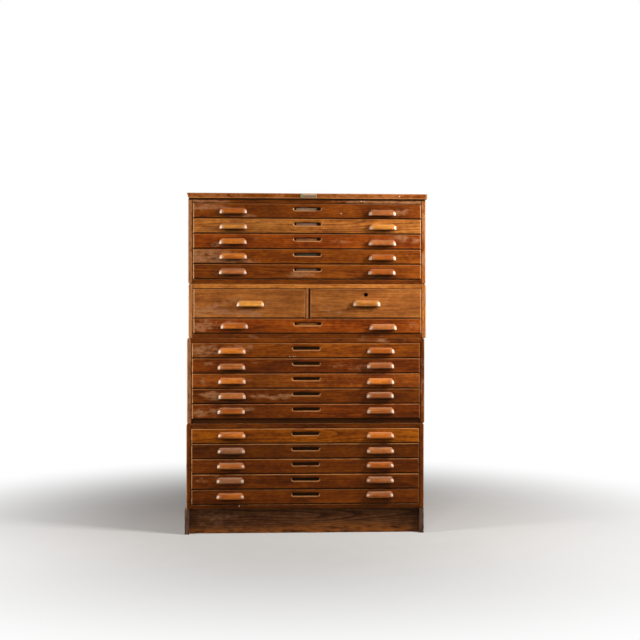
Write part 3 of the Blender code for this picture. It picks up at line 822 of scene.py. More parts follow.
def front_marks(short, node):
    """Marks of one front: hazy patches with a painted sheen, worn edges with a painted highlight, and
    painted shade at its foot, below its pulls, across its left middle and in its slot or bore.
    """
    *_, middle, half = measured(node)
    pulls = [measured(pull) for pull in frame["nodes"] if pull.startswith("pull_" + short)]
    feet = [(at.x - middle.x, low.z - middle.z) for low, _, at, _ in pulls]

    def marks(point):
        at_right = point.x > 0
        on_round = point.y < FRONT_ROUND * 0.8
        # The rounded ends and top edge are worn pale with a painted highlight.
        if half.x - abs(point.x) < END_REACHES[point.x >= 0]:
            bright = END_RUB_AND_HIGHLIGHT[short[0]][at_right]
            bright *= 1.0 if point.x * OUTWARD.get(short, point.x) > 0 else INWARD_SHARE
            return (0.0, bright if on_round else 0.0, 0.0)
        if half.z - point.z < FRONT_ROUND * EDGE_SHARE:
            return (0.0, TOP_EDGE_RUB_AND_HIGHLIGHT[short[0]] if on_round else 0.0, 0.0)
        # The foot gets painted shade.
        if half.z + point.z < FRONT_ROUND * 1.1:
            return (0.0, 0.0, FRONT_FOOT_SHADE)
        # The face has worn patches with a painted sheen, a painted shadow below the pulls, and painted
        # shade across its left middle.
        if point.y < FLAT_DEPTH or point.y > FRONT_THICKNESS * 0.9:
            shares = point.x / half.x, point.z / half.z
            dark = pull_shadow_at(feet, point.x, point.z) + ovals_at(SHADED_BANDS.get(short, ()), *shares)
            return (ovals_at(WEAR_AND_SHEEN_PATCHES[short], *shares), 0.0, min(1.0, dark))
        # Deep in a slot or bore there is painted shade. In the slot's mouth there is painted shade above
        # its middle and a painted highlight on the rim below.
        if point.y > SLOT_ROUND * 0.8:
            return (0.0, 0.0, SLOT_DEPTH_SHADE)
        above = point.z > SLOT_LIFT_SHARE * 2 * half.z + SLOT_HEAD
        return (0.0, 0.0, SLOT_SHADE) if above else (0.0, RIM_HIGHLIGHTS[short[0]], 0.0)
    return marks


for node in DRAWERS:
    short = node.removeprefix("drawer_")
    low, _, middle, _ = measured(node)
    kind = {"b_left": "deep", "b_right": "lock"}.get(short, "flat")
    stain, _, shade, *_ = DRAWER_LOOKS[short]
    front = Boards("front_" + short)
    front.add(FRONT_SHAPES[kind].copy(), "x", front_marks(short, node), (middle.x, low.y, middle.z))
    front.build(OAK[shade], node, "oak_" + stain, node)
print(len(DRAWERS), "fronts made")

# %% [markdown]
# ### Cards and specks
# Some slots still hold a plain card. The slot's upper edge shades the upper half of the card, which is
# why a slot looks dark above and light below. A few white specks of old paint stick to the wood.

# %% Make the cards
CARD_WIDTH = 0.102
CARD_THICKNESS = 0.0008
CARD_SHIFT = -0.005
CARD_FOOT_SHARE = 0.48
CARD_HEAD_SHARE = 0.42
CARDS = {
    "a1": (0.3, 0.19, 0.12), "a2": (0.24, 0.13, 0.08), "a3": (0.28, 0.1, 0.04),
    "a4": (0.045, 0.042, 0.028), "a5": (0.2, 0.1, 0.05), "b_flat": (0.34, 0.115, 0.025),
}


def card_paper(name, colour):
    """Old card, yellowed and a little stained."""
    finish = Finish(name)
    place = finish.place()
    stain = finish.noise(place, 45.0, 4.0, 0.6)
    fibre = finish.noise(place, 900.0, 2.0)
    tone = finish.blend(finish.fade(stain, 0.35, 0.7), opaque(colour, 1.1), opaque(colour, 0.6))
    return finish.close({
        "Base Color": finish.blend(fibre * 0.25, tone, opaque(colour, 1.4)),
        "Roughness": 0.8 + (stain - 0.5) * 0.2,
        "Specular IOR Level": 0.15,
        "Normal": finish.bump(fibre, 0.3, 0.0002),
    })


for short, colour in CARDS.items():
    node = "drawer_" + short
    low, high, middle, _ = measured(node)
    level = middle.z + SLOT_LIFT_SHARE * (high.z - low.z)
    deep = low.y + FRONT_THICKNESS - SLOT_BACKING - CARD_THICKNESS * 1.5
    foot, head = level - SLOT_HEIGHT * CARD_FOOT_SHARE, level + SLOT_HEIGHT * CARD_HEAD_SHARE
    left, right = (middle.x + CARD_SHIFT + side * CARD_WIDTH / 2 for side in (-1, 1))
    card = Boards("card_" + short).add(block((left, deep, foot), (right, deep + CARD_THICKNESS, head)), "x")
    card.build(card_paper("card_paper_" + short, colour), node)
print(len(CARDS), "cards in their slots")

# %% Make the specks: where each one sits in X and Z, and its size
RAIL_SETBACK = 0.001
SPECK_STEPS = 9
SPECK_HOLD = 0.0004
SPECK_RISE = 0.00015
SPECKS = {
    "drawer_a1": ((0.172, 1.59, 0.003),),
    "drawer_c1": ((-0.083, 0.8793, 0.0024), (-0.064, 0.8789, 0.002), (-0.055, 0.8795, 0.0016)),
    "case_a": ((0.272, 1.652, 0.0026), (0.286, 1.6515, 0.0024), (0.294, 1.6525, 0.0014)),
    "case_d": ((-0.331, 0.139, 0.003),),
    "top_board": ((0.462, 1.676, 0.0028),),
}


def paint_white():
    """Old white paint, no longer clean."""
    finish = Finish("speck_paint")
    grime = finish.noise(finish.place(), 700.0, 3.0)
    return finish.close({
        "Base Color": finish.blend(grime, opaque((0.92, 0.8, 0.66)), opaque((0.6, 0.45, 0.32))),
        "Roughness": 0.55 + (grime - 0.5) * 0.3,
    })


SPECK_PAINT = paint_white()
for node, places in SPECKS.items():
    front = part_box(node)[0].y + (RAIL_SETBACK if node.startswith("case") else 0.0)
    specks = Boards("specks_" + node)
    for x, z, size in places:
        chance = random.Random(f"{x} {z}")
        outline = [(x + size * chance.uniform(0.6, 1.0) * cos(turn),
                    z + size * chance.uniform(0.5, 0.9) * sin(turn))
                   for turn in turns(2 * pi, SPECK_STEPS)[:-1]]
        specks.add(pushed_back(outline, front - SPECK_RISE, front + SPECK_HOLD), "x")
    specks.build(SPECK_PAINT, node if node.startswith("drawer") else "cabinet")
print("specks on", len(SPECKS), "pieces")

# %% [markdown]
# ## Drawer boxes
# Behind each front is a box of paler, unstained wood: two sides with a groove that slides on the
# runners, a back, and a thin bottom. The sides are drawn as one outline, groove and all, and pushed
# back along Y. The bottom's grain runs from side to side.

# %% Make the drawer boxes
BOX_SIDE = 0.014
BOX_BACK = 0.012
BOX_BOTTOM = 0.005
BOX_RISE = 0.006
BOX_DROP = 0.011
BOX_SIDE_GAP = 0.003
BOTTOM_RISE = 0.007
BOX_HOUSING = 0.005
FRONT_LAP = 0.008
FRONT_GAP = 0.002
RUNNER_HEIGHT = 0.012
RUNNER_REACH = 0.009
RUNNER_PLAY = 0.001
EASED = 0.001


def box_side_shape(side, half_width, foot, head, front, back):
    """One side of a drawer box, with the groove for its runner."""
    outer = side * half_width
    inner = outer - side * BOX_SIDE
    groove = outer - side * (RUNNER_REACH - BOX_SIDE_GAP + RUNNER_PLAY)
    middle = (foot + head) / 2
    groove_head = middle + RUNNER_HEIGHT / 2 + RUNNER_PLAY / 3
    groove_foot = middle - RUNNER_HEIGHT / 2 - RUNNER_PLAY
    outline = [
        (inner, foot), (outer, foot), (outer, groove_foot), (groove, groove_foot),
        (groove, groove_head), (outer, groove_head), (outer, head), (inner, head),
    ]
    return pushed_back(outline, front, back)


for node in DRAWERS:
    low, high, middle, half = measured(node)
    place = (middle.x, 0.0, 0.0)
    half_width = half.x + FRONT_GAP - BOX_SIDE_GAP
    foot, head = low.z + BOX_RISE, high.z - BOX_DROP
    inner = half_width - BOX_SIDE + BOX_HOUSING
    box = Boards("box_" + node.removeprefix("drawer_"))
    for side in (-1, 1):
        box.add(box_side_shape(side, half_width, foot, head, low.y + FRONT_LAP, high.y), "y", place=place)
    back = block((-inner, high.y - BOX_BACK, foot), (inner, high.y - EASED, head - EASED), EASED)
    bottom = block((-inner, low.y + FRONT_THICKNESS - BOX_HOUSING, foot + BOTTOM_RISE),
                   (inner, high.y - BOX_BACK / 2, foot + BOTTOM_RISE + BOX_BOTTOM))
    box.add(back, "x", place=place)
    box.add(bottom, "x_top", place=place)
    box.build(OAK["raw"], node, "oak_pale")
print(len(DRAWERS), "drawer boxes made")

# %% [markdown]
# ## Pulls
# A pull is a small hood of solid oak that fingers hook behind. From the front it is a trapezoid with
# round upper corners, and its nose curves forward like a quarter of an egg. A loft through rings from
# foot to top makes it, and a plane then slopes its underside up to the drawer. Hands wore each pull
# differently, so every one gets its own slight dip along the top.

# %% Shape a pull
SEAT_GAP = 0.0003
PULL_WIDTH = 0.136
PULL_TOP_WIDTH = 0.131
PULL_HEIGHT = 0.03
PULL_REACH = 0.028
PULL_TOP_REACH = 0.004
PULL_CORNER = 0.014
PULL_UNDERCUT = 0.008
PULL_EDGE = 0.0012
PULL_DIP = 0.0022
PULL_SHOULDER = 0.0135
PULL_SHOULDER_SHARE = 0.3
PULL_FULLNESS_SHARE = 0.36
PULL_LIP = 0.005
PULL_LIP_SHARE = 0.25
CORNER_STEPS = 7
NOSE_STEPS = 8
LIP_STEPS = 5
RING_STEPS = 12


def pull_measures(share):
    """Half width, reach and corner radius of a pull at one share of its height."""
    risen = max(0.0, (share - PULL_LIP_SHARE) / (1 - PULL_LIP_SHARE))
    bulge = max(0.0, 1 - risen ** (1 / PULL_FULLNESS_SHARE)) ** PULL_FULLNESS_SHARE
    under = max(0.0, 1 - share / PULL_LIP_SHARE)
    lip = PULL_LIP * (1 - sqrt(1 - under ** 2))
    reach = PULL_TOP_REACH + (PULL_REACH - PULL_TOP_REACH) * bulge - lip
    turn = max(0.0, (share - PULL_SHOULDER_SHARE) / (1 - PULL_SHOULDER_SHARE))
    shoulder = PULL_SHOULDER * (1 - sqrt(max(0.0, 1 - turn ** 2)))
    half = (PULL_WIDTH + (PULL_TOP_WIDTH - PULL_WIDTH) * share) / 2 - shoulder
    return half, reach, min(PULL_CORNER, 0.8 * reach)


def pull_ring(share, dip):
    """Outline of a pull at one share of its height, from its left end round to its right."""
    half, reach, corner = pull_measures(share)
    quarter = [(corner * cos(turn), corner - reach - corner * sin(turn))
               for turn in turns(pi / 2, CORNER_STEPS)]
    outline = [(-half, 0.0)]
    outline += [(-half + corner - x, y) for x, y in quarter]
    for step in range(1, NOSE_STEPS):
        outline.append((-half + corner + 2 * (half - corner) * step / NOSE_STEPS, -reach))
    outline += [(half - corner + x, y) for x, y in quarter[::-1]]
    outline.append((half, 0.0))
    points = []
    for x, y in outline:
        sag = dip * share ** 2 * cos(pi / 2 * min(1.0, abs(x) / half)) ** 2
        points.append((x, y - SEAT_GAP, (share - 0.5) * PULL_HEIGHT - sag))
    return points


def sharp_below(edge):
    """Whether an edge of a pull is sharp, low down and away from the drawer."""
    if len(edge.link_faces) != 2 or edge.calc_face_angle(0.0) <= SMOOTH_ANGLE:
        return False
    return max(vert.co.z for vert in edge.verts) < 0.0 and max(vert.co.y for vert in edge.verts) < -0.002


def pull_shape(dip):
    """One pull, about its own middle, with its back on the drawer front at y = 0."""
    below = [pi / 2 * (1 - step / LIP_STEPS) for step in range(LIP_STEPS)]
    shares = [PULL_LIP_SHARE * (1 - sin(turn)) for turn in below]
    above = turns(pi / 2, RING_STEPS)
    shares += [PULL_LIP_SHARE + (1 - PULL_LIP_SHARE) * sin(turn) for turn in above]
    bm = loft([pull_ring(share, dip) for share in shares])
    nose = Vector((0.0, -SEAT_GAP - PULL_REACH + PULL_LIP, -PULL_HEIGHT / 2))
    slope = Vector((0.0, PULL_UNDERCUT, -PULL_REACH))
    whole = bm.verts[:] + bm.edges[:] + bm.faces[:]
    cut = bmesh.ops.bisect_plane(bm, geom=whole, plane_co=nose, plane_no=slope, clear_outer=True, dist=1e-5)
    rim = [item for item in cut["geom_cut"] if isinstance(item, bmesh.types.BMEdge)]
    bmesh.ops.contextual_create(bm, geom=rim)
    bmesh.ops.recalc_face_normals(bm, faces=bm.faces)
    return rounded(bm, PULL_EDGE, sharp_below)


print("a pull is", PULL_WIDTH, "m wide and stands", PULL_REACH, "m out")

# %% [markdown]
# ### Hands, highlights and shade on the pulls
# Hands polish a pull where they touch it, and its round ends also carry a painted highlight, at about
# the same height on every pull of a case and fainter on the end towards the middle. A thin painted
# highlight runs along the top, and some noses are scuffed down to dull wood. Underneath, it is dark with
# painted shade.

# %% Mark and build the pulls
HANDLED = (0.31, 0.13, 0.068)
# The pale colour of the pull ends is polish and also a painted highlight, set per case at one level.
POLISH_AND_HIGHLIGHT = (0.94, 0.8, 0.62)
FAR_END_SHARE = 0.65
RIDGE_HIGHLIGHT = 0.14
HANDLED_LITTLE = 0.08
HANDLED_PULLS = {
    "a5_left": 0.75, "d2_left": 0.85, "d4_left": 0.9, "d4_right": 0.85, "d2_right": 0.5, "c4_right": 0.45,
    "d5_right": 0.5, "b_flat_right": 0.4, "a4_right": 0.4, "a3_right": 0.4, "c5_right": 0.45,
}
PULL_HIGHLIGHT_LEVELS = {"a": (0.2, 0.5), "b": (0.25, 0.5), "c": (0.35, 0.4), "d": (0.46, 0.27)}


def within(value):
    """A number kept between 0 and 1."""
    return min(1.0, max(0.0, value))


def pull_marks(amount, outward, level, spread):
    """Marks of a pull: a worn nose, a painted highlight on its ends at one level and along its top, and
    painted shade underneath.
    """
    def marks(point):
        lift = within(point.z / PULL_HEIGHT + 0.5)
        half, reach, corner = pull_measures(lift)
        # A painted highlight on the round ends, at the case's level and fainter on the inner end, and
        # another one along the top.
        turned = within((abs(point.x) - half + corner * 1.05) / (corner * 0.35))
        polish_and_highlight = turned * max(0.0, 1 - ((lift - level) / spread) ** 2)
        polish_and_highlight *= 1.0 if point.x * outward > 0 else FAR_END_SHARE
        ridge = RIDGE_HIGHLIGHT * within((lift - 0.8) / 0.12)
        in_view = 1.0 if point.y < -SEAT_GAP * 2 else 0.0
        # Painted shade under the pull.
        dirt_and_shade = max(0.0, 0.25 - lift) * 1.6 * (1 - polish_and_highlight)
        return (amount * min(1.0, lift * 1.4) * in_view, max(polish_and_highlight, ridge) * in_view, dirt_and_shade)
    return marks


PULL_OAK = {
    shade: oak("pull_" + shade, tone, worn=HANDLED, pale_mark=POLISH_AND_HIGHLIGHT, gloss=0.36, coat=0.15, depth=0.6,
               worn_and_sheen_share=0.6, gaps=(0.0, 0.25), rub_coat=0.85, coat_roughness=0.2, contrast=0.6)
    for shade, tone in PULL_TONES.items()
}
PULLS = sorted(node for node in frame["nodes"] if node.startswith("pull_"))
for node in PULLS:
    key = node.removeprefix("pull_")
    short = key if key in DRAWER_LOOKS else key.rsplit("_", 1)[0]
    low, high, middle, _ = measured(node)
    marks = pull_marks(HANDLED_PULLS.get(key, HANDLED_LITTLE), middle.x, *PULL_HIGHLIGHT_LEVELS[key[0]])
    shape = pull_shape(random.Random(node).uniform(0.0, PULL_DIP))
    place = (middle.x, high.y + SEAT_GAP, low.z + PULL_HEIGHT / 2)
    _, stain, _, *shades = DRAWER_LOOKS[short]
    pull = Boards("wood_" + node).add(shape, "x", marks, place)
    pull.build(PULL_OAK[shades[key == short + "_right"]], "drawer_" + short, "oak_" + stain, node)
print(len(PULLS), "pulls made")

# %% [markdown]
# ## Cases
# A case is two side boards with rails between them at the front and back, a thin back panel, and a
# runner on each side for every drawer. The side boards' grain stands upright and the rails' lies
# level. The outer corners of the side boards are eased, so a small notch shows where two cases meet.

# %% Make the side boards
SIDE_BOARD = 0.022
SIDE_ROUND = 0.005
SIDE_EASE = 0.008
SIDE_BOARDS = 5
# Painted shade in the gap beside the drawers. The front of each side board is worn with a painted sheen,
# and its outer edge is worn pale with a painted highlight.
SIDE_GAP_SHADE = 0.9
SIDE_GAP_SHADE_WIDTH = 0.0035
SIDE_STEP = 0.03
WORN_AND_SHEEN_DEPTH = 0.05
FACE_DEPTH = 0.0003
OVERHUNG = 0.008
OVERHUNG_CUTS = (0.9, 1.3)
SIDE_WORN_AND_SHEEN = {"a": (0.8, 0.45), "b": (0.72, 0.45), "c": (0.72, 0.35), "d": (0.15, 0.05)}
SIDE_RUB_AND_HIGHLIGHT = {"a": (1.0, 0.8), "b": (1.0, 1.0), "c": (1.0, 0.4), "d": (0.8, 0.3)}
SIDE_SHADES = {"a": "amber", "b": "wheat", "c": "umber", "d": "umber"}


def side_shape(side, low, high, front, back):
    """One board of a case side; the foremost is rounded in front."""
    outer = low.x if side < 0 else high.x
    inner = outer - side * SIDE_BOARD
    middle = outer - side * SIDE_EASE
    outline = [(inner, low.z)]
    for start, rise in ((-pi / 2, low.z + SIDE_EASE), (0.0, high.z - SIDE_EASE)):
        for turn in turns(pi / 2, 6, start):
            outline.append((middle + side * SIDE_EASE * cos(turn), rise + SIDE_EASE * sin(turn)))
    outline.append((inner, high.z))
    bm = pushed_back(outline, front, back)
    if front > low.y:
        return bm

    def outside(edge):
        return in_front(edge) and max(side * vert.co.x for vert in edge.verts) > side * inner + 1e-5
    return sliced(rounded(bm, SIDE_ROUND, outside, steps=4), 2, SIDE_STEP)


def side_marks(side, low, high, wear_and_sheen, rub_and_highlight, dark_head):
    """Marks of a side board: worn with a painted sheen in front, worn pale with a painted highlight
    outside, and painted shade beside the drawers and under the overhang.
    """
    outer = low.x if side < 0 else high.x

    def marks(point):
        deep = point.y - low.y
        # Painted shade beside the drawers.
        if abs(point.x - outer) > SIDE_BOARD - SIDE_ROUND * 0.4 and deep < FRONT_THICKNESS:
            return (0.0, 0.0, SIDE_GAP_SHADE)
        # The painted shadow under the top board's overhang.
        if point.z > high.z - dark_head and deep < SIDE_BOARD:
            return (0.0, 0.0, OVERHANG_SHADE)
        pale_mark = abs(point.x - outer) < SIDE_ROUND and FACE_DEPTH < deep < SIDE_ROUND * 0.9
        return (wear_and_sheen * max(0.0, 1 - deep / WORN_AND_SHEEN_DEPTH), rub_and_highlight if pale_mark else 0.0, 0.0)
    return marks


def inside(low, high):
    """Where the inner faces of a case's side boards stand in X."""
    return low.x + SIDE_BOARD, high.x - SIDE_BOARD


for letter, stain in CASE_STAINS.items():
    node = "case_" + letter
    low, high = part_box(node)
    width = (high.y - low.y) / SIDE_BOARDS
    for at_right, (hand, side) in enumerate({"left": -1, "right": 1}.items()):
        board = Boards(f"{node}_{hand}_side")
        marks = side_marks(side, low, high, SIDE_WORN_AND_SHEEN[letter][at_right], SIDE_RUB_AND_HIGHLIGHT[letter][at_right],
                           OVERHUNG if letter == "a" else 0.0)
        for at in range(SIDE_BOARDS):
            shape = side_shape(side, low, high, low.y + at * width, low.y + (at + 1) * width)
            sliced_at(shape, 2, [high.z - OVERHUNG * share for share in OVERHUNG_CUTS])
            sliced_at(shape, 0, [inside(low, high)[at_right] + side * SIDE_GAP_SHADE_WIDTH])
            board.add(shape, "z_side", marks)
        board.build(OAK[SIDE_SHADES[letter]], "cabinet", "oak_" + stain, node)
print("side boards made")

# %% Make the front rails
TOP_RAIL = 0.023
BOTTOM_RAIL = 0.021
RAIL_DEPTH = 0.06
RAIL_ROUND = 0.0015
RAIL_STEP = 0.05
RAIL_RUB_AND_HIGHLIGHT = 0.5
SUNK_RAIL_SETBACK = 0.007
RAIL_SHADES = {
    "a_top": "umber", "a_bottom": "umber", "b_top": "wheat", "b_bottom": "umber",
    "c_top": "umber", "c_bottom": "walnut", "d_top": "walnut", "d_bottom": "walnut",
}
# Worn patches that also carry a painted sheen, brightest at the right end of case a's top rail.
RAIL_WEAR_AND_SHEEN_PATCHES = {
    "a_top": streaks((-92, 24, 80), (92, 34, 100), (42, 24, 60)),
    "b_top": streaks((-70, 30, 30), (50, 40, 30)),
    "b_bottom": streaks((-50, 50, 40), (60, 30, 30)),
    "c_top": streaks((-80, 25, 35), (50, 45, 50)),
}
# Painted shade: a band left of the middle of case a's top rail, and darkness along the lower rails of cases
# c and d. The lower rail of case c also has a dark walnut stain, which with its painted shade stands in for
# the shadow of the drawer above it.
RAIL_SHADING = {
    "a_top": streaks((-36, 34, 22)),
    "c_bottom": streaks((0, 300, 50), height=300),
    "d_bottom": streaks((-30, 150, 32), height=300),
}

for key, shade in RAIL_SHADES.items():
    letter, end = key.split("_")
    node = "case_" + letter
    low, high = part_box(node)
    foot, top = (high.z - TOP_RAIL, high.z) if end == "top" else (low.z, low.z + BOTTOM_RAIL)
    near = low.y + (SUNK_RAIL_SETBACK if key == "c_bottom" else RAIL_SETBACK)
    left, right = inside(low, high)
    corner_low, corner_high = Vector((left, near, foot)), Vector((right, near + RAIL_DEPTH, top))
    shape = sliced(block(corner_low, corner_high, RAIL_ROUND, in_front), 0, RAIL_STEP)
    sliced_at(shape, 2, [top - OVERHUNG * share for share in OVERHUNG_CUTS])
    # Case a's top rail is painted dark at its head, as the shadow of the top board.
    marks = edge_marks(corner_low, corner_high, RAIL_ROUND, RAIL_RUB_AND_HIGHLIGHT, RAIL_WEAR_AND_SHEEN_PATCHES.get(key, ()),
                      RAIL_SHADING.get(key, ()), OVERHUNG if key == "a_top" else 0.0)
    rail = Boards(f"{node}_{end}_rail").add(shape, "x", marks)
    rail.build(OAK[shade], "cabinet", "oak_" + CASE_STAINS[letter], node)
print(len(RAIL_SHADES), "front rails made")

# %% Make the backs and runners
BACK_PANEL = 0.006
PANEL_BOARDS = 9
STILE = 0.02
STILE_SETBACK = 0.003
STILE_STEPS = (0.03, 0.005)
STILE_WEAR = 0.75
STILE_RIGHT_DARKENING = 0.95
STILE_LEFT_DARKENING = 0.45
WEB_CLEARANCE = 0.0045
JOINT_DIRT = 0.7


def stile_marks(low, high):
    """The stile is greyed along its middle, and darker at its edges, most at its right edge."""
    def marks(point):
        share = (point.x - low.x) / (high.x - low.x)
        dirt_and_shade = STILE_RIGHT_DARKENING if share > 0.75 else STILE_LEFT_DARKENING if share < 0.05 else 0.0
        return (STILE_WEAR if 0.2 < share < 0.7 else 0.0, 0.0, dirt_and_shade)
    return marks


def joint_marks(left, right):
    """Dirt in the eased joints between two boards of a back."""
    def marks(point):
        return (0.0, 0.0, JOINT_DIRT if min(point.x - left, right - point.x) < EASED / 2 else 0.0)
    return marks


for letter in CASE_STAINS:
    node = "case_" + letter
    low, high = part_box(node)
    inner_low, inner_high = inside(low, high)
    panel_line = high.y - BACK_PANEL
    stop = low.y + FRONT_THICKNESS + SEAT_GAP
    back = Boards(node + "_back")
    width = (inner_high - inner_low) / PANEL_BOARDS
    for at in range(PANEL_BOARDS):
        left = inner_low + at * width
        board = block((left, panel_line, low.z), (left + width, high.y, high.z), EASED, steps=1)
        back.add(board, "z", joint_marks(left, left + width))
    for foot, top in ((low.z, low.z + BOTTOM_RAIL), (high.z - TOP_RAIL, high.z)):
        back.add(block((inner_low, panel_line - RAIL_DEPTH, foot), (inner_high, panel_line, top)), "x")
    runners = Boards(node + "_runners")
    for drawer in (drawer for drawer in DRAWERS if drawer.startswith("drawer_" + letter)):
        box_low, box_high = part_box(drawer)
        level = (box_low.z + BOX_RISE + box_high.z - BOX_DROP) / 2
        for side, wall in ((-1, box_low.x - FRONT_GAP), (1, box_high.x + FRONT_GAP)):
            near, far = sorted((wall, wall - side * RUNNER_REACH))
            runners.add(block((near, stop, level - RUNNER_HEIGHT / 2),
                              (far, panel_line, level + RUNNER_HEIGHT / 2), EASED, steps=1), "y")
    if letter == "b":
        web_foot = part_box("drawer_b_flat")[1].z - BOX_DROP + WEB_CLEARANCE
        deep_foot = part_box("drawer_b_left")[0].z
        web_head = deep_foot + BOX_RISE - WEB_CLEARANCE
        middle = (low.x + high.x) / 2
        left, right = middle - STILE / 2, middle + STILE / 2
        for near, far in ((stop, stop + RAIL_DEPTH), (panel_line - RAIL_DEPTH, panel_line)):
            back.add(block((inner_low, near, web_foot), (inner_high, far, web_head)), "x")
        back.add(block((left, stop, web_head), (right, panel_line, high.z - TOP_RAIL / 2)), "y")
        stile_low = Vector((left, low.y + STILE_SETBACK, deep_foot))
        stile_high = Vector((right, stop + RAIL_DEPTH / 2, high.z - TOP_RAIL))
        shape = sliced(block(stile_low, stile_high, RAIL_ROUND, in_front), 2, STILE_STEPS[0])
        sliced(shape, 0, STILE_STEPS[1])
        stile = Boards("case_b_stile").add(shape, "z", stile_marks(stile_low, stile_high))
        stile.build(OAK["honey"], "cabinet", "oak_honey", node)
    back.build(OAK["raw"], "cabinet", "oak_pale", node)
    runners.build(OAK["raw"], "cabinet", "oak_pale", node)
print("backs and runners made")

# %% [markdown]
# ## Top board and name plate
# The top is glued up from boards that run from side to side. Its front edge is bumped and rubbed, with
# a painted highlight round its rim, a painted sheen in its worn patches and painted shade left of the
# middle, and its left end is knocked in at the foot. It carries a small blank metal plate, held by a pin
# at each end.

# %% Make the top board
TOP_WORN_AND_SHEEN = (0.36, 0.118, 0.03)
TOP_BOARDS = 6
TOP_ROUND = 0.002
TOP_RIM = 0.005
TOP_END = 0.012
# Worn edges with a painted highlight.
TOP_RIM_RUB_AND_HIGHLIGHT = 0.6
TOP_BACK_RUB_AND_HIGHLIGHT = 0.8
TOP_STEPS = (0.015, 0.03)
KNOCKED_IN = 0.007
# Worn patches that also carry a painted sheen, and bands of painted shade left of the middle.
TOP_WEAR_AND_SHEEN_PATCHES = streaks((-90, 8, 100), (-73, 7, 100), (-54, 14, 45), (-23, 6, 90), (14, 8, 45), (31, 8, 95),
                      (52, 14, 60), (70, 12, 60), (90, 16, 36))
TOP_SHADING = streaks((-36, 8, 25), (-10, 6, 25))


def top_marks(low, high):
    """Marks of the top board's front edge: worn pale with a painted highlight round its rim, worn with a
    painted sheen between, and painted shade left of the middle.
    """
    middle, half = (low + high) / 2, (high - low) / 2

    def marks(point):
        if point.y > low.y + TOP_ROUND * 1.5:
            return CLEAN
        share = (point.x - middle.x) / half.x
        at_rim = half.z - abs(point.z - middle.z) < TOP_RIM * 0.8
        at_end = half.x - abs(point.x - middle.x) < TOP_END * 0.6
        wear_and_sheen = ovals_at(TOP_WEAR_AND_SHEEN_PATCHES, share, 0.0)
        if at_rim or at_end:
            return (wear_and_sheen, TOP_RIM_RUB_AND_HIGHLIGHT, 0.0)
        return (wear_and_sheen, 0.0, ovals_at(TOP_SHADING, share, 0.0))
    return marks


low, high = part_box("top_board")
top = Boards("top_board_oak")
strip = (high.y - low.y) / TOP_BOARDS
for at in range(TOP_BOARDS):
    near = Vector((low.x, low.y + at * strip, low.z))
    far = Vector((high.x, low.y + (at + 1) * strip, high.z))
    shape = sliced(block(near, far, TOP_ROUND, outer_edge(low, high)), 0, TOP_STEPS[at > 0])
    if at == 0:
        sliced_at(shape, 0, [low.x + TOP_END, high.x - TOP_END])
        sliced_at(shape, 1, [low.y + TOP_END])
        sliced_at(shape, 2, [low.z + TOP_RIM, high.z - TOP_RIM])
    for vert in shape.verts:
        if vert.co.x < low.x + TOP_ROUND * 2:
            vert.co.x += KNOCKED_IN * (high.z - vert.co.z) / (high.z - low.z)
    top.add(shape, "x_top", edge_marks(low, high, TOP_ROUND, TOP_BACK_RUB_AND_HIGHLIGHT) if at else top_marks(low, high))
top.build(oak("top_oak", STAINS["amber"], worn=TOP_WORN_AND_SHEEN), "cabinet", "oak_amber", "top_board")
print("top board made of", TOP_BOARDS, "boards")

# %% Make the plate
PLATE_ROUND = 0.0004
PLATE_FIELD = 0.0055
PLATE_GREEN = -0.018
GREEN_FADE = 0.004
RIM_COLOURS = (opaque((0.24, 0.23, 0.135)), opaque((0.52, 0.36, 0.21)))
FIELD_COLOURS = (opaque((0.19, 0.17, 0.085)), opaque((0.2, 0.115, 0.065)))
TARNISH = opaque((0.1, 0.07, 0.05))
PIN_INSET = 0.005
PIN_SUNK = 0.0002
PIN_STEPS = 16
PIN_DOME = ((0.0016, 0.0), (0.0013, 0.0001), (0.0006, 0.00018))
low, high, middle, half = measured("name_plate")


def plate_metal():
    """Old brass gone dull and greenish, with a painted highlight along its border, strongest at the top."""
    finish = Finish("plate_metal")
    place = finish.place()
    cloud = finish.noise(place, 60.0, 4.0, 0.6)
    fine = finish.noise(place, 900.0, 2.0)
    across, _, level = finish.split(place)
    level = level - middle.z
    green = finish.fade(across + (cloud - 0.5) * 0.03, PLATE_GREEN - GREEN_FADE, PLATE_GREEN + GREEN_FADE)
    # The brighter border, strongest along the top and weakest along the foot, is a painted highlight.
    upper = finish.fade(level, PLATE_FIELD * 0.35, PLATE_FIELD)
    lower = finish.fade(level * -1, PLATE_FIELD * 1.2, PLATE_FIELD * 1.7) * 0.3
    reach = finish.maths("ABSOLUTE", across - middle.x)
    ends = finish.fade(reach, half.x - PLATE_FIELD, half.x - PLATE_FIELD / 2)
    rim = finish.maths("MAXIMUM", upper + lower, ends * 0.7)
    colour = finish.blend(rim, finish.blend(green, *FIELD_COLOURS), finish.blend(green, *RIM_COLOURS))
    return finish.close({
        "Base Color": finish.blend(finish.fade(cloud, 0.4, 0.75) * 0.4, colour, TARNISH),
        "Metallic": 0.35,
        "Roughness": 0.48 + (cloud - 0.5) * 0.4,
        "Normal": finish.bump(fine, 0.15, 0.0003),
    })


plate = Boards("name_plate_metal")
plate.add(block(low, high, PLATE_ROUND, steps=2), "x")
for side in (-1, 1):
    pin = Vector((middle.x + side * (half.x - PIN_INSET), low.y + PIN_SUNK, middle.z))
    plate.add(loft([[(x, pin.y - rise, z) for x, z in circle(radius, PIN_STEPS, pin.x, pin.z)]
                    for radius, rise in PIN_DOME]), "x")
plate.build(plate_metal(), "cabinet", "plate_metal", "name_plate")
print("plate made")

# %% [markdown]
# ## Plinth
# The plinth is plain and dark: two end boards, a toe board set back between them, and a back board
# with two cross rails. Mops and shoes rubbed the toe board's lower edge back to orange wood.

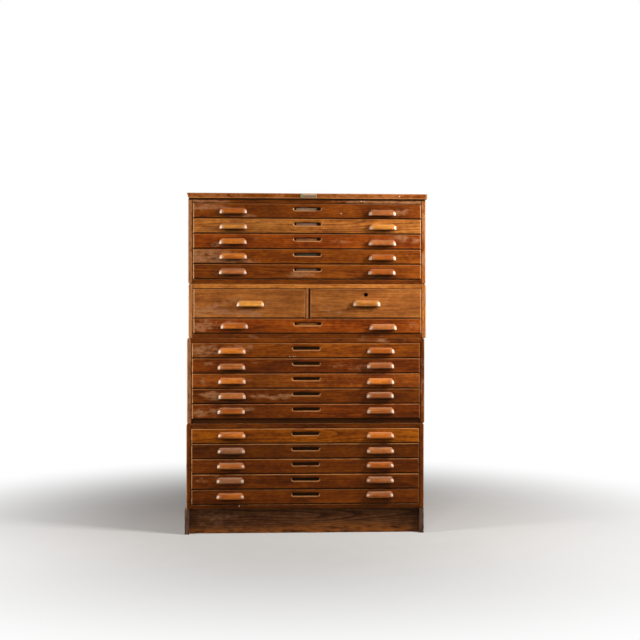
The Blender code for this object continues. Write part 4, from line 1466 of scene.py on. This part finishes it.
# %% Make the plinth
END_BOARD = 0.022
BASE_ROUND = 0.003
BASE_STEP = 0.02
TOE_BOARD = 0.02
TOE_STEPS = (0.04, 0.01)
BASE_RAIL = 0.018
TOE_RUBBED = (0.34, 0.105, 0.02)
TOE_WORN = (0.16, 0.075, 0.04)
low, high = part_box("base")
toe_low, toe_high, toe_middle, toe_half = measured("toe_board")
for hand, left in (("left", low.x), ("right", high.x - END_BOARD)):
    shape = block((left, low.y, low.z), (left + END_BOARD, high.y, high.z), BASE_ROUND, in_front, steps=4)
    end = Boards(f"plinth_{hand}_end").add(sliced(shape, 2, BASE_STEP), "z_side")
    end.build(OAK["grey"], "cabinet", "oak_plinth", "base")
plinth = Boards("plinth_frame")
for near, far, foot in (
        (toe_high.y + SEAT_GAP, toe_high.y + RAIL_DEPTH, high.z - BASE_RAIL),
        (high.y - RAIL_DEPTH, high.y - TOE_BOARD, high.z - BASE_RAIL),
        (high.y - TOE_BOARD, high.y, low.z)):
    plinth.add(block((low.x + END_BOARD, near, foot), (high.x - END_BOARD, far, high.z)), "x")
plinth.build(OAK["plinth"], "cabinet", "oak_plinth", "base")


def hump(value, middle, reach):
    """A soft hump, 1 at its middle."""
    return exp(-((value - middle) / reach) ** 2)


def toe_marks(point):
    """Rubbed bare low down, mostly right of the middle, and worn at the left end."""
    share = (point.x - toe_middle.x) / toe_half.x
    reach = 0.032 + 0.025 * hump(share, 0.35, 0.4)
    pale_mark = 0.9 * max(0.0, 1 - (point.z - toe_low.z) / reach) ** 0.6
    return (0.45 * hump(share, -0.8, 0.3), pale_mark, 0.25 * hump(share, 0.95, 0.15))


shape = block(toe_low, toe_high)
for axis, step in zip((0, 2), TOE_STEPS):
    sliced(shape, axis, step)
TOE_OAK = oak("toe_oak", STAINS["plinth"], worn=TOE_WORN, pale_mark=TOE_RUBBED, gaps=(0.28, 0.62),
              rub_coat=0.0, contrast=1.2, figure=0.8)
Boards("toe_board_oak").add(shape, "x", toe_marks).build(TOE_OAK, "cabinet", "oak_plinth", "toe_board")
print("plinth made")
